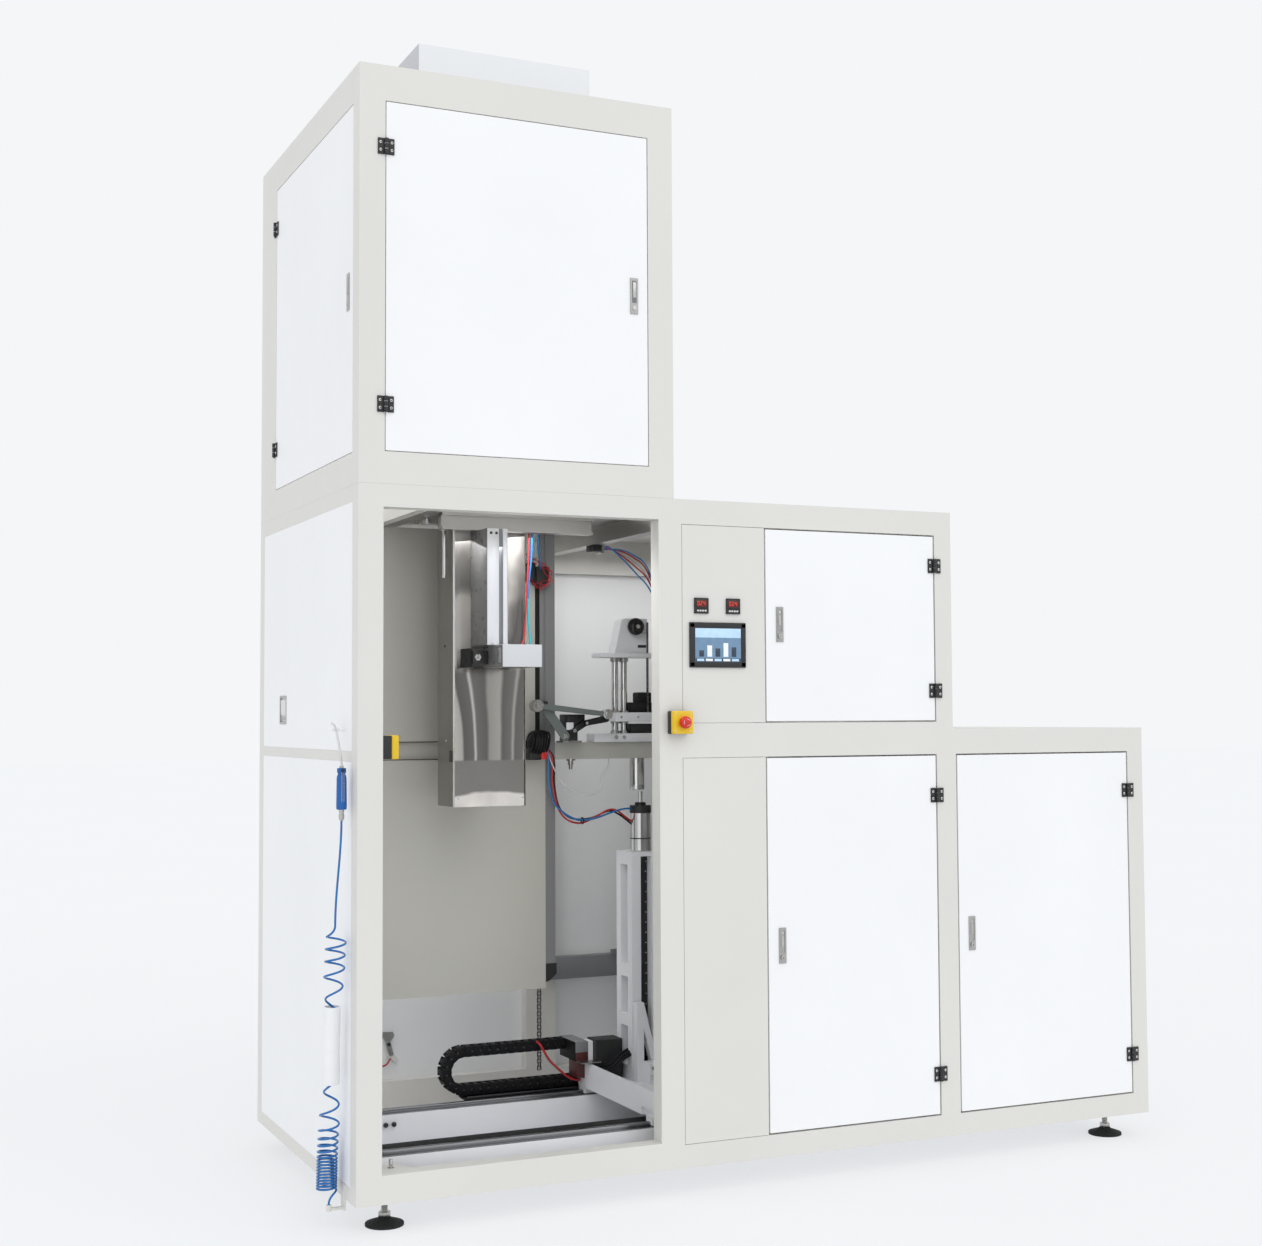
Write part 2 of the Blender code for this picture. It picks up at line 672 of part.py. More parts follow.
def smooth_route(points, count):
    """Points along a Catmull-Rom curve through a route, evenly counted in each span."""
    route = [Vector(point) for point in points]
    ends = [route[0] * 2 - route[1], *route, route[-1] * 2 - route[-2]]
    spans = len(route) - 1
    made = []
    for index in range(count + 1):
        place = index / count * spans
        span = min(int(place), spans - 1)
        t = place - span
        a, b, c, d = ends[span:span + 4]
        made.append(((b * 2) + (c - a) * t + (a * 2 - b * 5 + c * 4 - d) * t * t
                     + (b * 3 - a - c * 3 + d) * t * t * t) / 2)
    return made


def tube(name, points, radius, finish, resolution=2):
    """A round tube along a list of points, with filled ends."""
    curve = bpy.data.curves.new(name, "CURVE")
    curve.dimensions = "3D"
    curve.bevel_depth = radius
    curve.bevel_resolution = resolution
    curve.use_fill_caps = True
    spline = curve.splines.new("POLY")
    spline.points.add(len(points) - 1)
    for place, point in zip(spline.points, points):
        place.co = (*point, 1.0)
    curve.materials.append(finish)
    made = bpy.data.objects.new(name, curve)
    made.parent = ORIGIN
    PARTS.objects.link(made)
    return made


def hang(piece, pivot):
    """Put a piece under a joint's empty without moving it."""
    piece.location = piece.location - pivot.location
    piece.parent = pivot
    return piece


def pivot(name, place):
    made = bpy.data.objects.new(name, None)
    made.location = place
    made.parent = ORIGIN
    PARTS.objects.link(made)
    return made


# Lower cabinet frames

def front_frame():
    """Stepped front frame with the open bay, the panel column and the door holes."""
    outline = [(0, 0), (LENGTH, 0), (LENGTH, LOW_HEIGHT), (MID_END, LOW_HEIGHT),
               (MID_END, MID_HEIGHT), (0, MID_HEIGHT)]
    left = PANEL_LEFT - PANEL_GAP
    right = MID_DOOR_RIGHT + DOOR_GAP
    holes = (
        rectangle((OPENING_LEFT, OPENING_RIGHT), (OPENING_BOTTOM, OPENING_TOP)),
        rectangle((left, right), (UPPER_DOOR_BOTTOM - DOOR_GAP, UPPER_DOOR_TOP + DOOR_GAP)),
        rectangle((left, right), (LOWER_DOOR_BOTTOM - DOOR_GAP, LOWER_DOOR_TOP + DOOR_GAP)),
        rectangle((LOW_DOOR_LEFT - DOOR_GAP, LOW_DOOR_RIGHT + DOOR_GAP),
                  (LOWER_DOOR_BOTTOM - DOOR_GAP, LOWER_DOOR_TOP + DOOR_GAP)),
    )
    frame = sheet("front_frame", outline, FRAME_DEPTH, "XZ", 0.0, BEIGE, holes)
    post_right = MID_DOOR_LEFT - PANEL_POST_INSET
    post = box_cutter("panel_post", (post_right - PANEL_POST_WIDTH, post_right),
                      (PANEL + SEAT, FRAME_DEPTH - PANEL_POST_BACK),
                      (LOWER_DOOR_BOTTOM - PANEL_POST_PAST, UPPER_DOOR_TOP + PANEL_POST_PAST))
    return join(frame, post, solver=LONG_CHAIN)


def hinge(frame, door, x, z, name, side=1):
    """A three-knuckle hinge: its outer knuckles and pin on the frame, the middle on the door."""
    y = -KNUCKLE_RADIUS
    third = HINGE_HEIGHT / 3
    low = z - HINGE_HEIGHT / 2
    reach = KNUCKLE_RADIUS + KNUCKLE_GAP
    pin_length = third + 4 * HINGE_BURY
    edges = sorted((x + side * reach, x + side * HINGE_LEAF))
    join(frame, box_cutter(name + "_frame_leaf", edges, (-LEAF_THICKNESS, HINGE_BURY),
                           (low, low + HINGE_HEIGHT)), solver=LONG_CHAIN)
    for index, base in enumerate((low, low + 2 * third + KNUCKLE_GAP / 2)):
        height = third - KNUCKLE_GAP / 2
        bridge = sorted((x, x + side * (reach + HINGE_BURY)))
        join(frame,
             box_cutter(f"{name}_frame_bridge_{index}", bridge, (-LEAF_THICKNESS, -BRIDGE_SINK),
                        (base, base + height)),
             cylinder(f"{name}_frame_knuckle_{index}", (x, y, base + height / 2), KNUCKLE_RADIUS,
                      height, sides=KNUCKLE_SIDES, collection=CUTTERS), solver=LONG_CHAIN)
    join(frame, cylinder(name + "_pin", (x, y, z), PIN_RADIUS, pin_length, sides=PIN_SIDES,
                         collection=CUTTERS), solver=LONG_CHAIN)
    edges = sorted((x - side * reach, x - side * HINGE_LEAF))
    middle = third - KNUCKLE_GAP
    bridge = sorted((x, x - side * (reach + HINGE_BURY)))
    join(door,
         box_cutter(name + "_door_leaf", edges, (-LEAF_THICKNESS, HINGE_BURY),
                    (low, low + HINGE_HEIGHT)),
         box_cutter(name + "_door_bridge", bridge, (-LEAF_THICKNESS, -BRIDGE_SINK),
                    (z - middle / 2, z + middle / 2)),
         cylinder(name + "_door_knuckle", (x, y, z), KNUCKLE_RADIUS, middle,
                  sides=KNUCKLE_SIDES, collection=CUTTERS), solver=LONG_CHAIN)
    cut(door, cylinder(name + "_bore", (x, y, z), BORE_RADIUS, pin_length, sides=PIN_SIDES,
                       collection=CUTTERS), solver=LONG_CHAIN)


def door_lock(name, x, z):
    """Flush lock plate with a recessed face and a key boss."""
    plate = block(name, (x - LOCK_WIDTH / 2, x + LOCK_WIDTH / 2), (-LOCK_PROUD, -SEAT),
                  (z - LOCK_HEIGHT / 2, z + LOCK_HEIGHT / 2), STEEL)
    half = LOCK_WIDTH * LOCK_RECESS_HALF_SHARE
    recess = box_cutter(name + "_recess", (x - half, x + half),
                        (-LOCK_PROUD - CUT_PAST, -LOCK_PROUD + LOCK_RECESS),
                        (z - LOCK_HEIGHT * LOCK_RECESS_LOW_SHARE,
                         z + LOCK_HEIGHT * LOCK_RECESS_TOP_SHARE))
    boss = cylinder(name + "_boss", (x, -LOCK_PROUD, z - LOCK_HEIGHT * LOCK_BOSS_DROP_SHARE),
                    LOCK_WIDTH * LOCK_BOSS_RADIUS_SHARE, LOCK_BOSS_LENGTH, "Y",
                    sides=KNUCKLE_SIDES, collection=CUTTERS)
    cut(plate, recess)
    return join(plate, boss)


def hinged_door(name, frame, x, z, lock_z, hinge_heights):
    """A flush door hinged on its right edge, with its lock near the left edge."""
    axis_x = x[1] + DOOR_GAP / 2
    turn = pivot(name + "_hinge", (axis_x, -KNUCKLE_RADIUS, (z[0] + z[1]) / 2))
    door = block(name, x, (0.0, DOOR_THICKNESS), z, WHITE, DOOR_EDGE)
    for index, height in enumerate(hinge_heights):
        hinge(frame, door, axis_x, height, f"{name}_hinge_{index}")
    hang(door, turn)
    hang(door_lock(name + "_lock", x[0] + LOCK_INSET, lock_z), turn)
    return door


def feet():
    """Four levelling feet with pad, stem, nut and top plate."""
    spots = {
        "foot_front_left": (FOOT_INSET_X, FOOT_INSET_Y),
        "foot_front_right": (LENGTH - FOOT_INSET_X, FOOT_INSET_Y),
        "foot_back_left": (FOOT_INSET_LEFT_BACK, DEPTH - FOOT_INSET_Y),
        "foot_back_right": (LENGTH - FOOT_INSET_X, DEPTH - FOOT_INSET_Y),
    }
    neck = PAD_HEIGHT
    top = FOOT_HEIGHT - FOOT_PLATE_THICKNESS - SEAT
    profile = [(0.0, top), (STEM_RADIUS, top), (STEM_RADIUS, neck + NUT_HEIGHT),
               (NUT_RADIUS, neck + NUT_HEIGHT), (NUT_RADIUS, neck),
               (STEM_RADIUS * FOOT_NECK_SHARE, neck),
               (PAD_RADIUS * PAD_SHOULDER_SHARE, neck * PAD_SHOULDER_HEIGHT_SHARE),
               (PAD_RADIUS, neck * PAD_RIM_HEIGHT_SHARE), (PAD_RADIUS, 0.0), (0.0, 0.0)]
    for name, (x, y) in spots.items():
        foot = turned(name, profile, (x, y, -FOOT_HEIGHT), RUBBER)
        half = FOOT_PLATE / 2
        plate = box_cutter(name + "_plate", (x - half, x + half), (y - half, y + half),
                           (-FOOT_PLATE_THICKNESS - BURY, -SEAT))
        join(foot, plate)


def side_walls():
    """Left frame with two lift-off panels, right frame with one, and the step wall."""
    inner_y = (FRAME_DEPTH + SEAT, DEPTH - FRAME_DEPTH - SEAT)
    panel_y = (SIDE_PANEL_FRONT, SIDE_PANEL_BACK)
    upper = (SIDE_UPPER_BOTTOM, SIDE_UPPER_TOP)
    lower = (SIDE_LOWER_BOTTOM, SIDE_LOWER_TOP)
    left = sheet("left_frame", rectangle(inner_y, (0.0, MID_HEIGHT)), SIDE_FRAME, "YZ", 0.0,
                 BEIGE, (rectangle(panel_y, lower), rectangle(panel_y, upper)))
    join(left, *hose_fitting())
    cover_y = (panel_y[0] + SEAT, panel_y[1] - SEAT)
    side_upper = block("side_panel_upper", (0.0, PANEL), cover_y,
                       (upper[0] + SEAT, upper[1] - SEAT), WHITE)
    half_w = LATCH_WIDTH / 2
    half_h = LATCH_HEIGHT / 2
    cut(side_upper, box_cutter("latch_recess", (-CUT_PAST, LATCH_DEPTH),
                               (LATCH_Y - half_w, LATCH_Y + half_w),
                               (LATCH_Z - half_h, LATCH_Z + half_h)))
    hook = hook_place()
    join(side_upper, cylinder("gun_hook", ((BURY - HOOK_REACH) / 2, hook.y, hook.z), HOOK_RADIUS,
                              HOOK_REACH + BURY, "X", sides=16, collection=CUTTERS))
    block("side_panel_lower", (0.0, PANEL), cover_y, (lower[0] + SEAT, lower[1] - SEAT), WHITE)

    right_z = (SIDE_LOWER_BOTTOM, LOW_HEIGHT - BACK_MARGIN)
    sheet("right_frame", rectangle(inner_y, (0.0, LOW_HEIGHT)), SIDE_FRAME, "YZ",
          LENGTH - SIDE_FRAME, BEIGE, (rectangle(panel_y, right_z),))
    block("right_panel", (LENGTH - PANEL, LENGTH), cover_y,
          (right_z[0] + SEAT, right_z[1] - SEAT), WHITE)
    block("step_wall", (MID_END - SIDE_FRAME, MID_END), inner_y,
          (LOW_HEIGHT + SEAT, MID_HEIGHT), BEIGE)


def back_wall():
    """Back frame with three panels, set flush with its outer face."""
    outline = [(0, 0), (LENGTH, 0), (LENGTH, LOW_HEIGHT), (MID_END, LOW_HEIGHT),
               (MID_END, MID_HEIGHT), (0, MID_HEIGHT)]
    low_top = LOW_HEIGHT - BACK_MARGIN
    holes = {
        "back_panel_left": ((BACK_MARGIN, BACK_POST_LEFT), (BACK_LOW_BAND, BACK_TOP_BAND)),
        "back_panel_mid": ((BACK_POST_RIGHT, MID_END - BACK_MARGIN),
                           (BACK_LOW_BAND, BACK_TOP_BAND)),
        "back_panel_right": ((MID_END + BACK_MARGIN, LENGTH - BACK_MARGIN),
                             (BACK_LOW_BAND, low_top)),
    }
    frame = sheet("back_frame", outline, FRAME_DEPTH, "XZ", DEPTH - FRAME_DEPTH, BEIGE,
                  [rectangle(*limits) for limits in holes.values()])
    inner = DEPTH - FRAME_DEPTH
    join(frame, box_cutter("wall_rail",
                           (BACK_POST_LEFT + WALL_RAIL_INSET, MID_END - WALL_RAIL_INSET),
                           (inner - WALL_RAIL_DEPTH, inner + BURY),
                           (WALL_RAIL_BOTTOM, WALL_RAIL_BOTTOM + WALL_RAIL_HEIGHT)))
    for name, (x, z) in holes.items():
        block(name, (x[0] + SEAT, x[1] - SEAT), (DEPTH - PANEL, DEPTH),
              (z[0] + SEAT, z[1] - SEAT), WHITE)


def floor_and_roofs():
    """Bottom pan and the two roof sheets between the front and back frames."""
    y = (FRAME_DEPTH + SEAT, DEPTH - FRAME_DEPTH - SEAT)
    block("floor_pan", (SIDE_FRAME + SEAT, LENGTH - SIDE_FRAME - SEAT), y, (0.0, SHEET), WHITE)
    block("mid_roof", (TOWER_LENGTH, MID_END - SIDE_FRAME - SEAT), y,
          (MID_HEIGHT - PANEL, MID_HEIGHT), BEIGE)
    block("low_roof", (MID_END - SIDE_FRAME, LENGTH - SIDE_FRAME - SEAT), y,
          (LOW_HEIGHT - PANEL, LOW_HEIGHT), BEIGE)


def control_column():
    """Control panel with its devices, the blank panel below it, and the emergency stop."""
    x = (PANEL_LEFT, MID_DOOR_LEFT - DOOR_GAP)
    panel = block("control_panel", x, (0.0, PANEL),
                  (UPPER_DOOR_BOTTOM - DOOR_GAP + PANEL_GAP, UPPER_DOOR_TOP + DOOR_GAP - PANEL_GAP),
                  BEIGE)
    block("blank_panel", x, (0.0, PANEL),
          (LOWER_DOOR_BOTTOM - DOOR_GAP + PANEL_GAP, LOWER_DOOR_TOP + DOOR_GAP - PANEL_GAP), BEIGE)

    hmi_x = (HMI_LEFT, HMI_LEFT + HMI_WIDTH)
    hmi_z = (HMI_BOTTOM, HMI_BOTTOM + HMI_HEIGHT)
    hmi = block("touch_screen", hmi_x, (-HMI_PROUD, -SEAT), hmi_z, BLACK, DEVICE_EDGE)
    cut(hmi, box_cutter("screen_recess", (hmi_x[0] + HMI_BEZEL, hmi_x[1] - HMI_BEZEL),
                        (-HMI_PROUD - CUT_PAST, -HMI_PROUD + HMI_RECESS),
                        (hmi_z[0] + HMI_BEZEL, hmi_z[1] - HMI_BEZEL)))
    inset = HMI_BODY_INSET
    cut(panel, box_cutter("screen_hole", (hmi_x[0] + inset, hmi_x[1] - inset),
                          (-CUT_PAST, PANEL + CUT_PAST), (hmi_z[0] + inset, hmi_z[1] - inset)))
    inset = HMI_BODY_INSET + SEAT
    join(hmi, box_cutter("screen_body", (hmi_x[0] + inset, hmi_x[1] - inset),
                         (-BURY, HMI_BODY_BACK), (hmi_z[0] + inset, hmi_z[1] - inset)))

    for side, from_edge in zip(("left", "right"), CONTROLLER_INSETS):
        left = PANEL_LEFT + from_edge
        x_limits = (left, left + CONTROLLER_SIZE)
        z_limits = (CONTROLLER_BOTTOM, CONTROLLER_BOTTOM + CONTROLLER_SIZE)
        name = "controller_" + side
        device = block(name, x_limits, (-CONTROLLER_PROUD, -SEAT), z_limits, BLACK, DEVICE_EDGE)
        inset = CONTROLLER_RIM
        cut(panel, box_cutter(name + "_hole", (x_limits[0] + inset, x_limits[1] - inset),
                              (-CUT_PAST, PANEL + CUT_PAST),
                              (z_limits[0] + inset, z_limits[1] - inset)))
        inset = CONTROLLER_RIM + SEAT
        join(device, box_cutter(name + "_body", (x_limits[0] + inset, x_limits[1] - inset),
                                (-BURY, CONTROLLER_BACK),
                                (z_limits[0] + inset, z_limits[1] - inset)))

    estop_x = (ESTOP_LEFT, ESTOP_LEFT + ESTOP_WIDTH)
    estop_z = (ESTOP_BOTTOM, ESTOP_BOTTOM + ESTOP_HEIGHT)
    block("estop_box", estop_x, (-ESTOP_DEPTH, -SEAT), estop_z, YELLOW, ESTOP_EDGE)
    middle = ((estop_x[0] + estop_x[1]) / 2, (estop_z[0] + estop_z[1]) / 2)
    button = cylinder("estop_button",
                      (middle[0], -ESTOP_DEPTH - SEAT - BUTTON_NECK / 2, middle[1]),
                      BUTTON_RADIUS * BUTTON_NECK_SHARE, BUTTON_NECK, "Y", RED, BUTTON_SIDES)
    cap_length = BUTTON_PROUD - BUTTON_NECK + BURY - SEAT
    cap = cylinder("estop_cap", (middle[0], -ESTOP_DEPTH - BUTTON_PROUD + cap_length / 2,
                                 middle[1]), BUTTON_RADIUS * BUTTON_ROOT_SHARE, cap_length, "Y",
                   None, BUTTON_SIDES, BUTTON_RADIUS, CUTTERS)
    join(button, cap)


def tower():
    """Tower housing over the filling bay, its two fixed doors, panels and roof duct."""
    base = MID_HEIGHT + SEAT
    housing = block("tower_frame", (0.0, TOWER_LENGTH), (0.0, DEPTH), (base, TOWER_TOP), BEIGE)
    cavity = box_cutter("tower_cavity", (TOWER_WALL, TOWER_LENGTH - TOWER_WALL),
                        (TOWER_WALL, DEPTH - TOWER_WALL),
                        (base - CUT_PAST, TOWER_TOP - SIDE_FRAME))
    door_z = (TOWER_DOOR_BOTTOM, TOWER_DOOR_TOP)
    past = CUT_PAST
    front = ((TOWER_DOOR_LEFT, TOWER_DOOR_RIGHT), (-past, TOWER_WALL + past))
    left = ((-past, TOWER_WALL + past), (TOWER_SIDE_FRONT, TOWER_SIDE_BACK))
    right = ((TOWER_LENGTH - TOWER_WALL - past, TOWER_LENGTH + past),
             (TOWER_SIDE_FRONT, DEPTH - TOWER_SIDE_FRONT))
    back = ((TOWER_DOOR_LEFT, TOWER_DOOR_RIGHT), (DEPTH - TOWER_WALL - past, DEPTH + past))
    cut(housing, cavity)
    for name, (x, y) in zip(("front", "left", "right", "back"), (front, left, right, back)):
        cut(housing, box_cutter(f"tower_{name}_hole", x, y, door_z))
    gap = DOOR_GAP / 2
    z = (door_z[0] + gap, door_z[1] - gap)
    front_door = block("tower_front_door", (front[0][0] + gap, front[0][1] - gap),
                       (0.0, DOOR_THICKNESS), z, WHITE, DOOR_EDGE)
    side_door = block("tower_side_door", (0.0, DOOR_THICKNESS),
                      (left[1][0] + gap, left[1][1] - gap), z, WHITE, DOOR_EDGE)
    block("tower_right_panel", (TOWER_LENGTH - PANEL, TOWER_LENGTH),
          (right[1][0] + SEAT, right[1][1] - SEAT), (door_z[0] + SEAT, door_z[1] - SEAT), WHITE)
    block("tower_back_panel", (back[0][0] + SEAT, back[0][1] - SEAT), (DEPTH - PANEL, DEPTH),
          (door_z[0] + SEAT, door_z[1] - SEAT), WHITE)
    half = HINGE_HEIGHT / 2
    for index, height in enumerate((door_z[0] + TOWER_HINGE_INSET, door_z[1] - TOWER_HINGE_INSET)):
        x = TOWER_DOOR_LEFT + gap / 2
        join(front_door,
             box_cutter(f"tower_front_hinge_{index}", (x - HINGE_LEAF, x + HINGE_LEAF),
                        (-LEAF_THICKNESS, -SEAT), (height - half, height + half)),
             box_cutter(f"tower_front_hinge_root_{index}", (x + LEAF_CLEARANCE, x + HINGE_LEAF),
                        (-LEAF_THICKNESS / 2, HINGE_BURY), (height - half, height + half)),
             cylinder(f"tower_front_knuckle_{index}", (x, -KNUCKLE_RADIUS - SEAT, height),
                      KNUCKLE_RADIUS, HINGE_HEIGHT, sides=KNUCKLE_SIDES, collection=CUTTERS),
             solver=LONG_CHAIN)
        y = TOWER_SIDE_BACK - gap / 2
        join(side_door,
             box_cutter(f"tower_side_hinge_{index}", (-LEAF_THICKNESS, -SEAT),
                        (y - HINGE_LEAF, y + HINGE_LEAF), (height - half, height + half)),
             box_cutter(f"tower_side_hinge_root_{index}", (-LEAF_THICKNESS / 2, HINGE_BURY),
                        (y - HINGE_LEAF, y - LEAF_CLEARANCE), (height - half, height + half)),
             cylinder(f"tower_side_knuckle_{index}", (-KNUCKLE_RADIUS - SEAT, y, height),
                      KNUCKLE_RADIUS, HINGE_HEIGHT, sides=KNUCKLE_SIDES, collection=CUTTERS),
             solver=LONG_CHAIN)
    lock_x = TOWER_DOOR_RIGHT - LOCK_INSET
    half_w = LOCK_WIDTH / 2
    half_h = LOCK_HEIGHT / 2
    join(front_door, box_cutter("tower_door_lock", (lock_x - half_w, lock_x + half_w),
                                (-LOCK_PROUD, HINGE_BURY),
                                (TOWER_LOCK_Z - half_h, TOWER_LOCK_Z + half_h)),
         solver=LONG_CHAIN)

    block("roof_duct", (DUCT_LEFT, DUCT_RIGHT), (DUCT_FRONT, DUCT_BACK),
          (TOWER_TOP + SEAT, TOWER_TOP + DUCT_HEIGHT), WHITE)


# Filling bay

def ceiling():
    """Steel plate over the filling bay on two beams and a front bar."""
    y = (FRAME_DEPTH + SEAT, DEPTH - FRAME_DEPTH - SEAT)
    low = CEILING_Z - CEILING_BEAM_HEIGHT
    right = (CEILING_RIGHT_BEAM, CEILING_RIGHT_BEAM + CEILING_BEAM_WIDTH)
    plate = block("ceiling_plate", (CEILING_LEFT, right[1]),
                  (CEILING_PLATE_FRONT, CEILING_PLATE_BACK), (CEILING_Z, CEILING_Z + SHEET), STEEL)
    overlap = SHEET / 2
    bar_x = (CEILING_LEFT + CEILING_BAR_INSET, CEILING_BAR_RIGHT)
    join(plate,
         box_cutter("ceiling_left_beam", (CEILING_LEFT - CEILING_BEAM_WIDTH, CEILING_LEFT + BURY),
                    y, (CEILING_Z - CEILING_LEFT_FLANGE, CEILING_Z + SHEET)),
         box_cutter("ceiling_right_beam", right, y, (low, CEILING_Z + overlap)),
         box_cutter("ceiling_bar", bar_x,
                    (CEILING_PLATE_FRONT, CEILING_PLATE_FRONT + CEILING_BAR_DEPTH),
                    (low, CEILING_Z + overlap)))
    cut(plate, box_cutter("bar_groove", (bar_x[0] - CUT_PAST, bar_x[1] + CUT_PAST),
                          (CEILING_PLATE_FRONT - CUT_PAST, CEILING_PLATE_FRONT + BAR_GROOVE_DEPTH),
                          (low + BAR_LIP, CEILING_Z - BAR_LIP)))
    return cut(plate, spout_bore("spout_mouth", (CEILING_Z - CUT_PAST, CEILING_Z + CUT_PAST)))


def spout_bore(name, z):
    """The spout's hollow between two heights."""
    return rounded_column(name, (SPOUT_LEFT + SPOUT_WALL, SPOUT_RIGHT - SPOUT_WALL),
                          (SPOUT_FRONT + SPOUT_WALL, SPOUT_BACK - SPOUT_WALL), z,
                          SPOUT_ROUND - SPOUT_WALL, collection=CUTTERS)


def filling_spout():
    """Rectangular steel spout with round upright edges, open at its bottom."""
    top = CEILING_Z - SEAT
    spout = rounded_column("filling_spout", (SPOUT_LEFT, SPOUT_RIGHT), (SPOUT_FRONT, SPOUT_BACK),
                           (SPOUT_BOTTOM, top), SPOUT_ROUND, STEEL)
    return cut(spout, spout_bore("spout_hollow", (SPOUT_BOTTOM - CUT_PAST, top + CUT_PAST)))


def bag_clamp():
    """Vertical slide that hangs from the ceiling bar, with the clamp at its foot."""
    x = (CLAMP_LEFT, CLAMP_LEFT + CLAMP_WIDTH)
    top = CEILING_Z - CEILING_BEAM_HEIGHT - SEAT
    slide = block("clamp_slide", x, (CLAMP_FRONT, SPOUT_FRONT - SEAT), (CLAMP_BOTTOM, top),
                  ALUMINIUM)
    groove_right = x[1] - GROOVE_INSET
    cut(slide, box_cutter("slide_groove", (groove_right - GROOVE_WIDTH, groove_right),
                          (CLAMP_FRONT - CUT_PAST, CLAMP_FRONT + GROOVE_DEPTH),
                          (CLAMP_BOTTOM - CUT_PAST, top + CUT_PAST)))
    box = block("bag_clamp", (GRIP_BOX_LEFT, GRIP_BOX_RIGHT), (GRIP_BOX_FRONT, GRIP_BOX_BACK),
                (GRIP_TOP - GRIP_BOX_HEIGHT, GRIP_TOP), WHITE)
    return join(box,
                box_cutter("clamp_block", (GRIP_BLOCK_LEFT, GRIP_BOX_LEFT + BURY),
                           (GRIP_BLOCK_FRONT, GRIP_BLOCK_BACK),
                           (GRIP_TOP - GRIP_BLOCK_LOW, GRIP_TOP - GRIP_BLOCK_TOP)),
                box_cutter("clamp_plate", (GRIP_PLATE_LEFT, GRIP_BLOCK_LEFT + BURY),
                           (GRIP_PLATE_FRONT, GRIP_PLATE_BACK),
                           (GRIP_TOP - GRIP_PLATE_LOW, GRIP_TOP - GRIP_PLATE_TOP)))


def inner_walls():
    """Inner panels behind the spout, the post at their right edge and the mid beam."""
    left = SIDE_FRAME + SEAT
    y = (INNER_PANEL_Y, INNER_PANEL_Y + INNER_PANEL_THICKNESS)
    backing = (y[1] - SHEET, y[1])
    lower = block("inner_panel_lower", (left, POST_LEFT - SEAT), y,
                  (INNER_PANEL_BOTTOM, INNER_PANEL_TOP), GREY)
    join(lower, box_cutter("panel_channel", (left, POST_LEFT - SEAT), backing,
                           (INNER_PANEL_TOP - CHANNEL_LAP, CHANNEL_TOP)))
    block("inner_panel_upper", (left, INNER_UPPER_RIGHT), y,
          (CHANNEL_TOP + SEAT, CEILING_Z - CEILING_LEFT_FLANGE - SEAT), GREY)
    post = block("inner_post", (POST_LEFT, POST_LEFT + POST_WIDTH), (y[0], y[0] + POST_DEPTH),
                 (POST_BOTTOM, CEILING_Z - SEAT), DARK)
    beam_left = POST_LEFT + POST_WIDTH + SEAT
    beam = block("mid_beam", (beam_left, LENGTH - SIDE_FRAME - SEAT), (y[0], y[0] + POST_DEPTH),
                 (MID_BEAM_BOTTOM, MID_BEAM_TOP), BEIGE)
    height = MID_BEAM_BOTTOM + BURY - TOP_TUBE_BOTTOM
    join(beam, cylinder("docking_tube", (TOP_TUBE_X, y[0] + POST_DEPTH / 2,
                                         TOP_TUBE_BOTTOM + height / 2),
                        TOP_TUBE_RADIUS, height, sides=ROUND_STEPS, collection=CUTTERS))
    return post


def head_unit():
    """Guide rods with a clamped head block and its hand knob, standing on the mid beam."""
    y = INNER_PANEL_Y + POST_DEPTH / 2
    base = MID_BEAM_TOP + SEAT
    block_top = base + FOOT_BLOCK_HEIGHT
    foot_y = (y - FOOT_BLOCK_DEPTH / 2, y + FOOT_BLOCK_DEPTH / 2)
    head_y = (y - HEAD_BLOCK_DEPTH / 2, y + HEAD_BLOCK_DEPTH / 2)
    plate_y = (y - HEAD_PLATE_DEPTH / 2, y + HEAD_PLATE_DEPTH / 2)
    unit = block("head_unit", (FOOT_BLOCK_LEFT, FOOT_BLOCK_RIGHT), foot_y, (base, block_top),
                 ALUMINIUM)
    for index, x in enumerate(ROD_X):
        length = ROD_TOP - block_top + 2 * BURY
        join(unit, cylinder(f"guide_rod_{index}", (x, y, block_top + length / 2 - BURY),
                            ROD_RADIUS, length, sides=ROD_SIDES, collection=CUTTERS))
    plate_top = ROD_TOP + HEAD_PLATE_THICKNESS
    join(unit, box_cutter("head_plate", (HEAD_PLATE_LEFT, HEAD_PLATE_RIGHT), plate_y,
                          (ROD_TOP, plate_top)))
    block_low = plate_top - BURY
    block_top = HEAD_KNOB_Z + HEAD_BLOCK_RISE
    slanted = [(HEAD_BLOCK_LEFT, block_low), (HEAD_BLOCK_RIGHT, block_low),
               (HEAD_BLOCK_RIGHT, block_top), (HEAD_BLOCK_LEFT + HEAD_BLOCK_SLANT, block_top)]
    join(unit, sheet("head_block", slanted, HEAD_BLOCK_DEPTH, "XZ", head_y[0], None))
    join(unit, cylinder("head_knob", (HEAD_KNOB_X, head_y[0] - KNOB_LENGTH / 2 + BURY,
                                      HEAD_KNOB_Z), HEAD_KNOB_RADIUS, KNOB_LENGTH, "Y",
                        sides=BUTTON_SIDES, collection=CUTTERS))
    join(unit, box_cutter("rod_clamp", (ROD_CLAMP_LEFT, FOOT_BLOCK_RIGHT), head_y,
                          (ROD_CLAMP_BOTTOM, ROD_CLAMP_BOTTOM + ROD_CLAMP_HEIGHT)))
    return unit


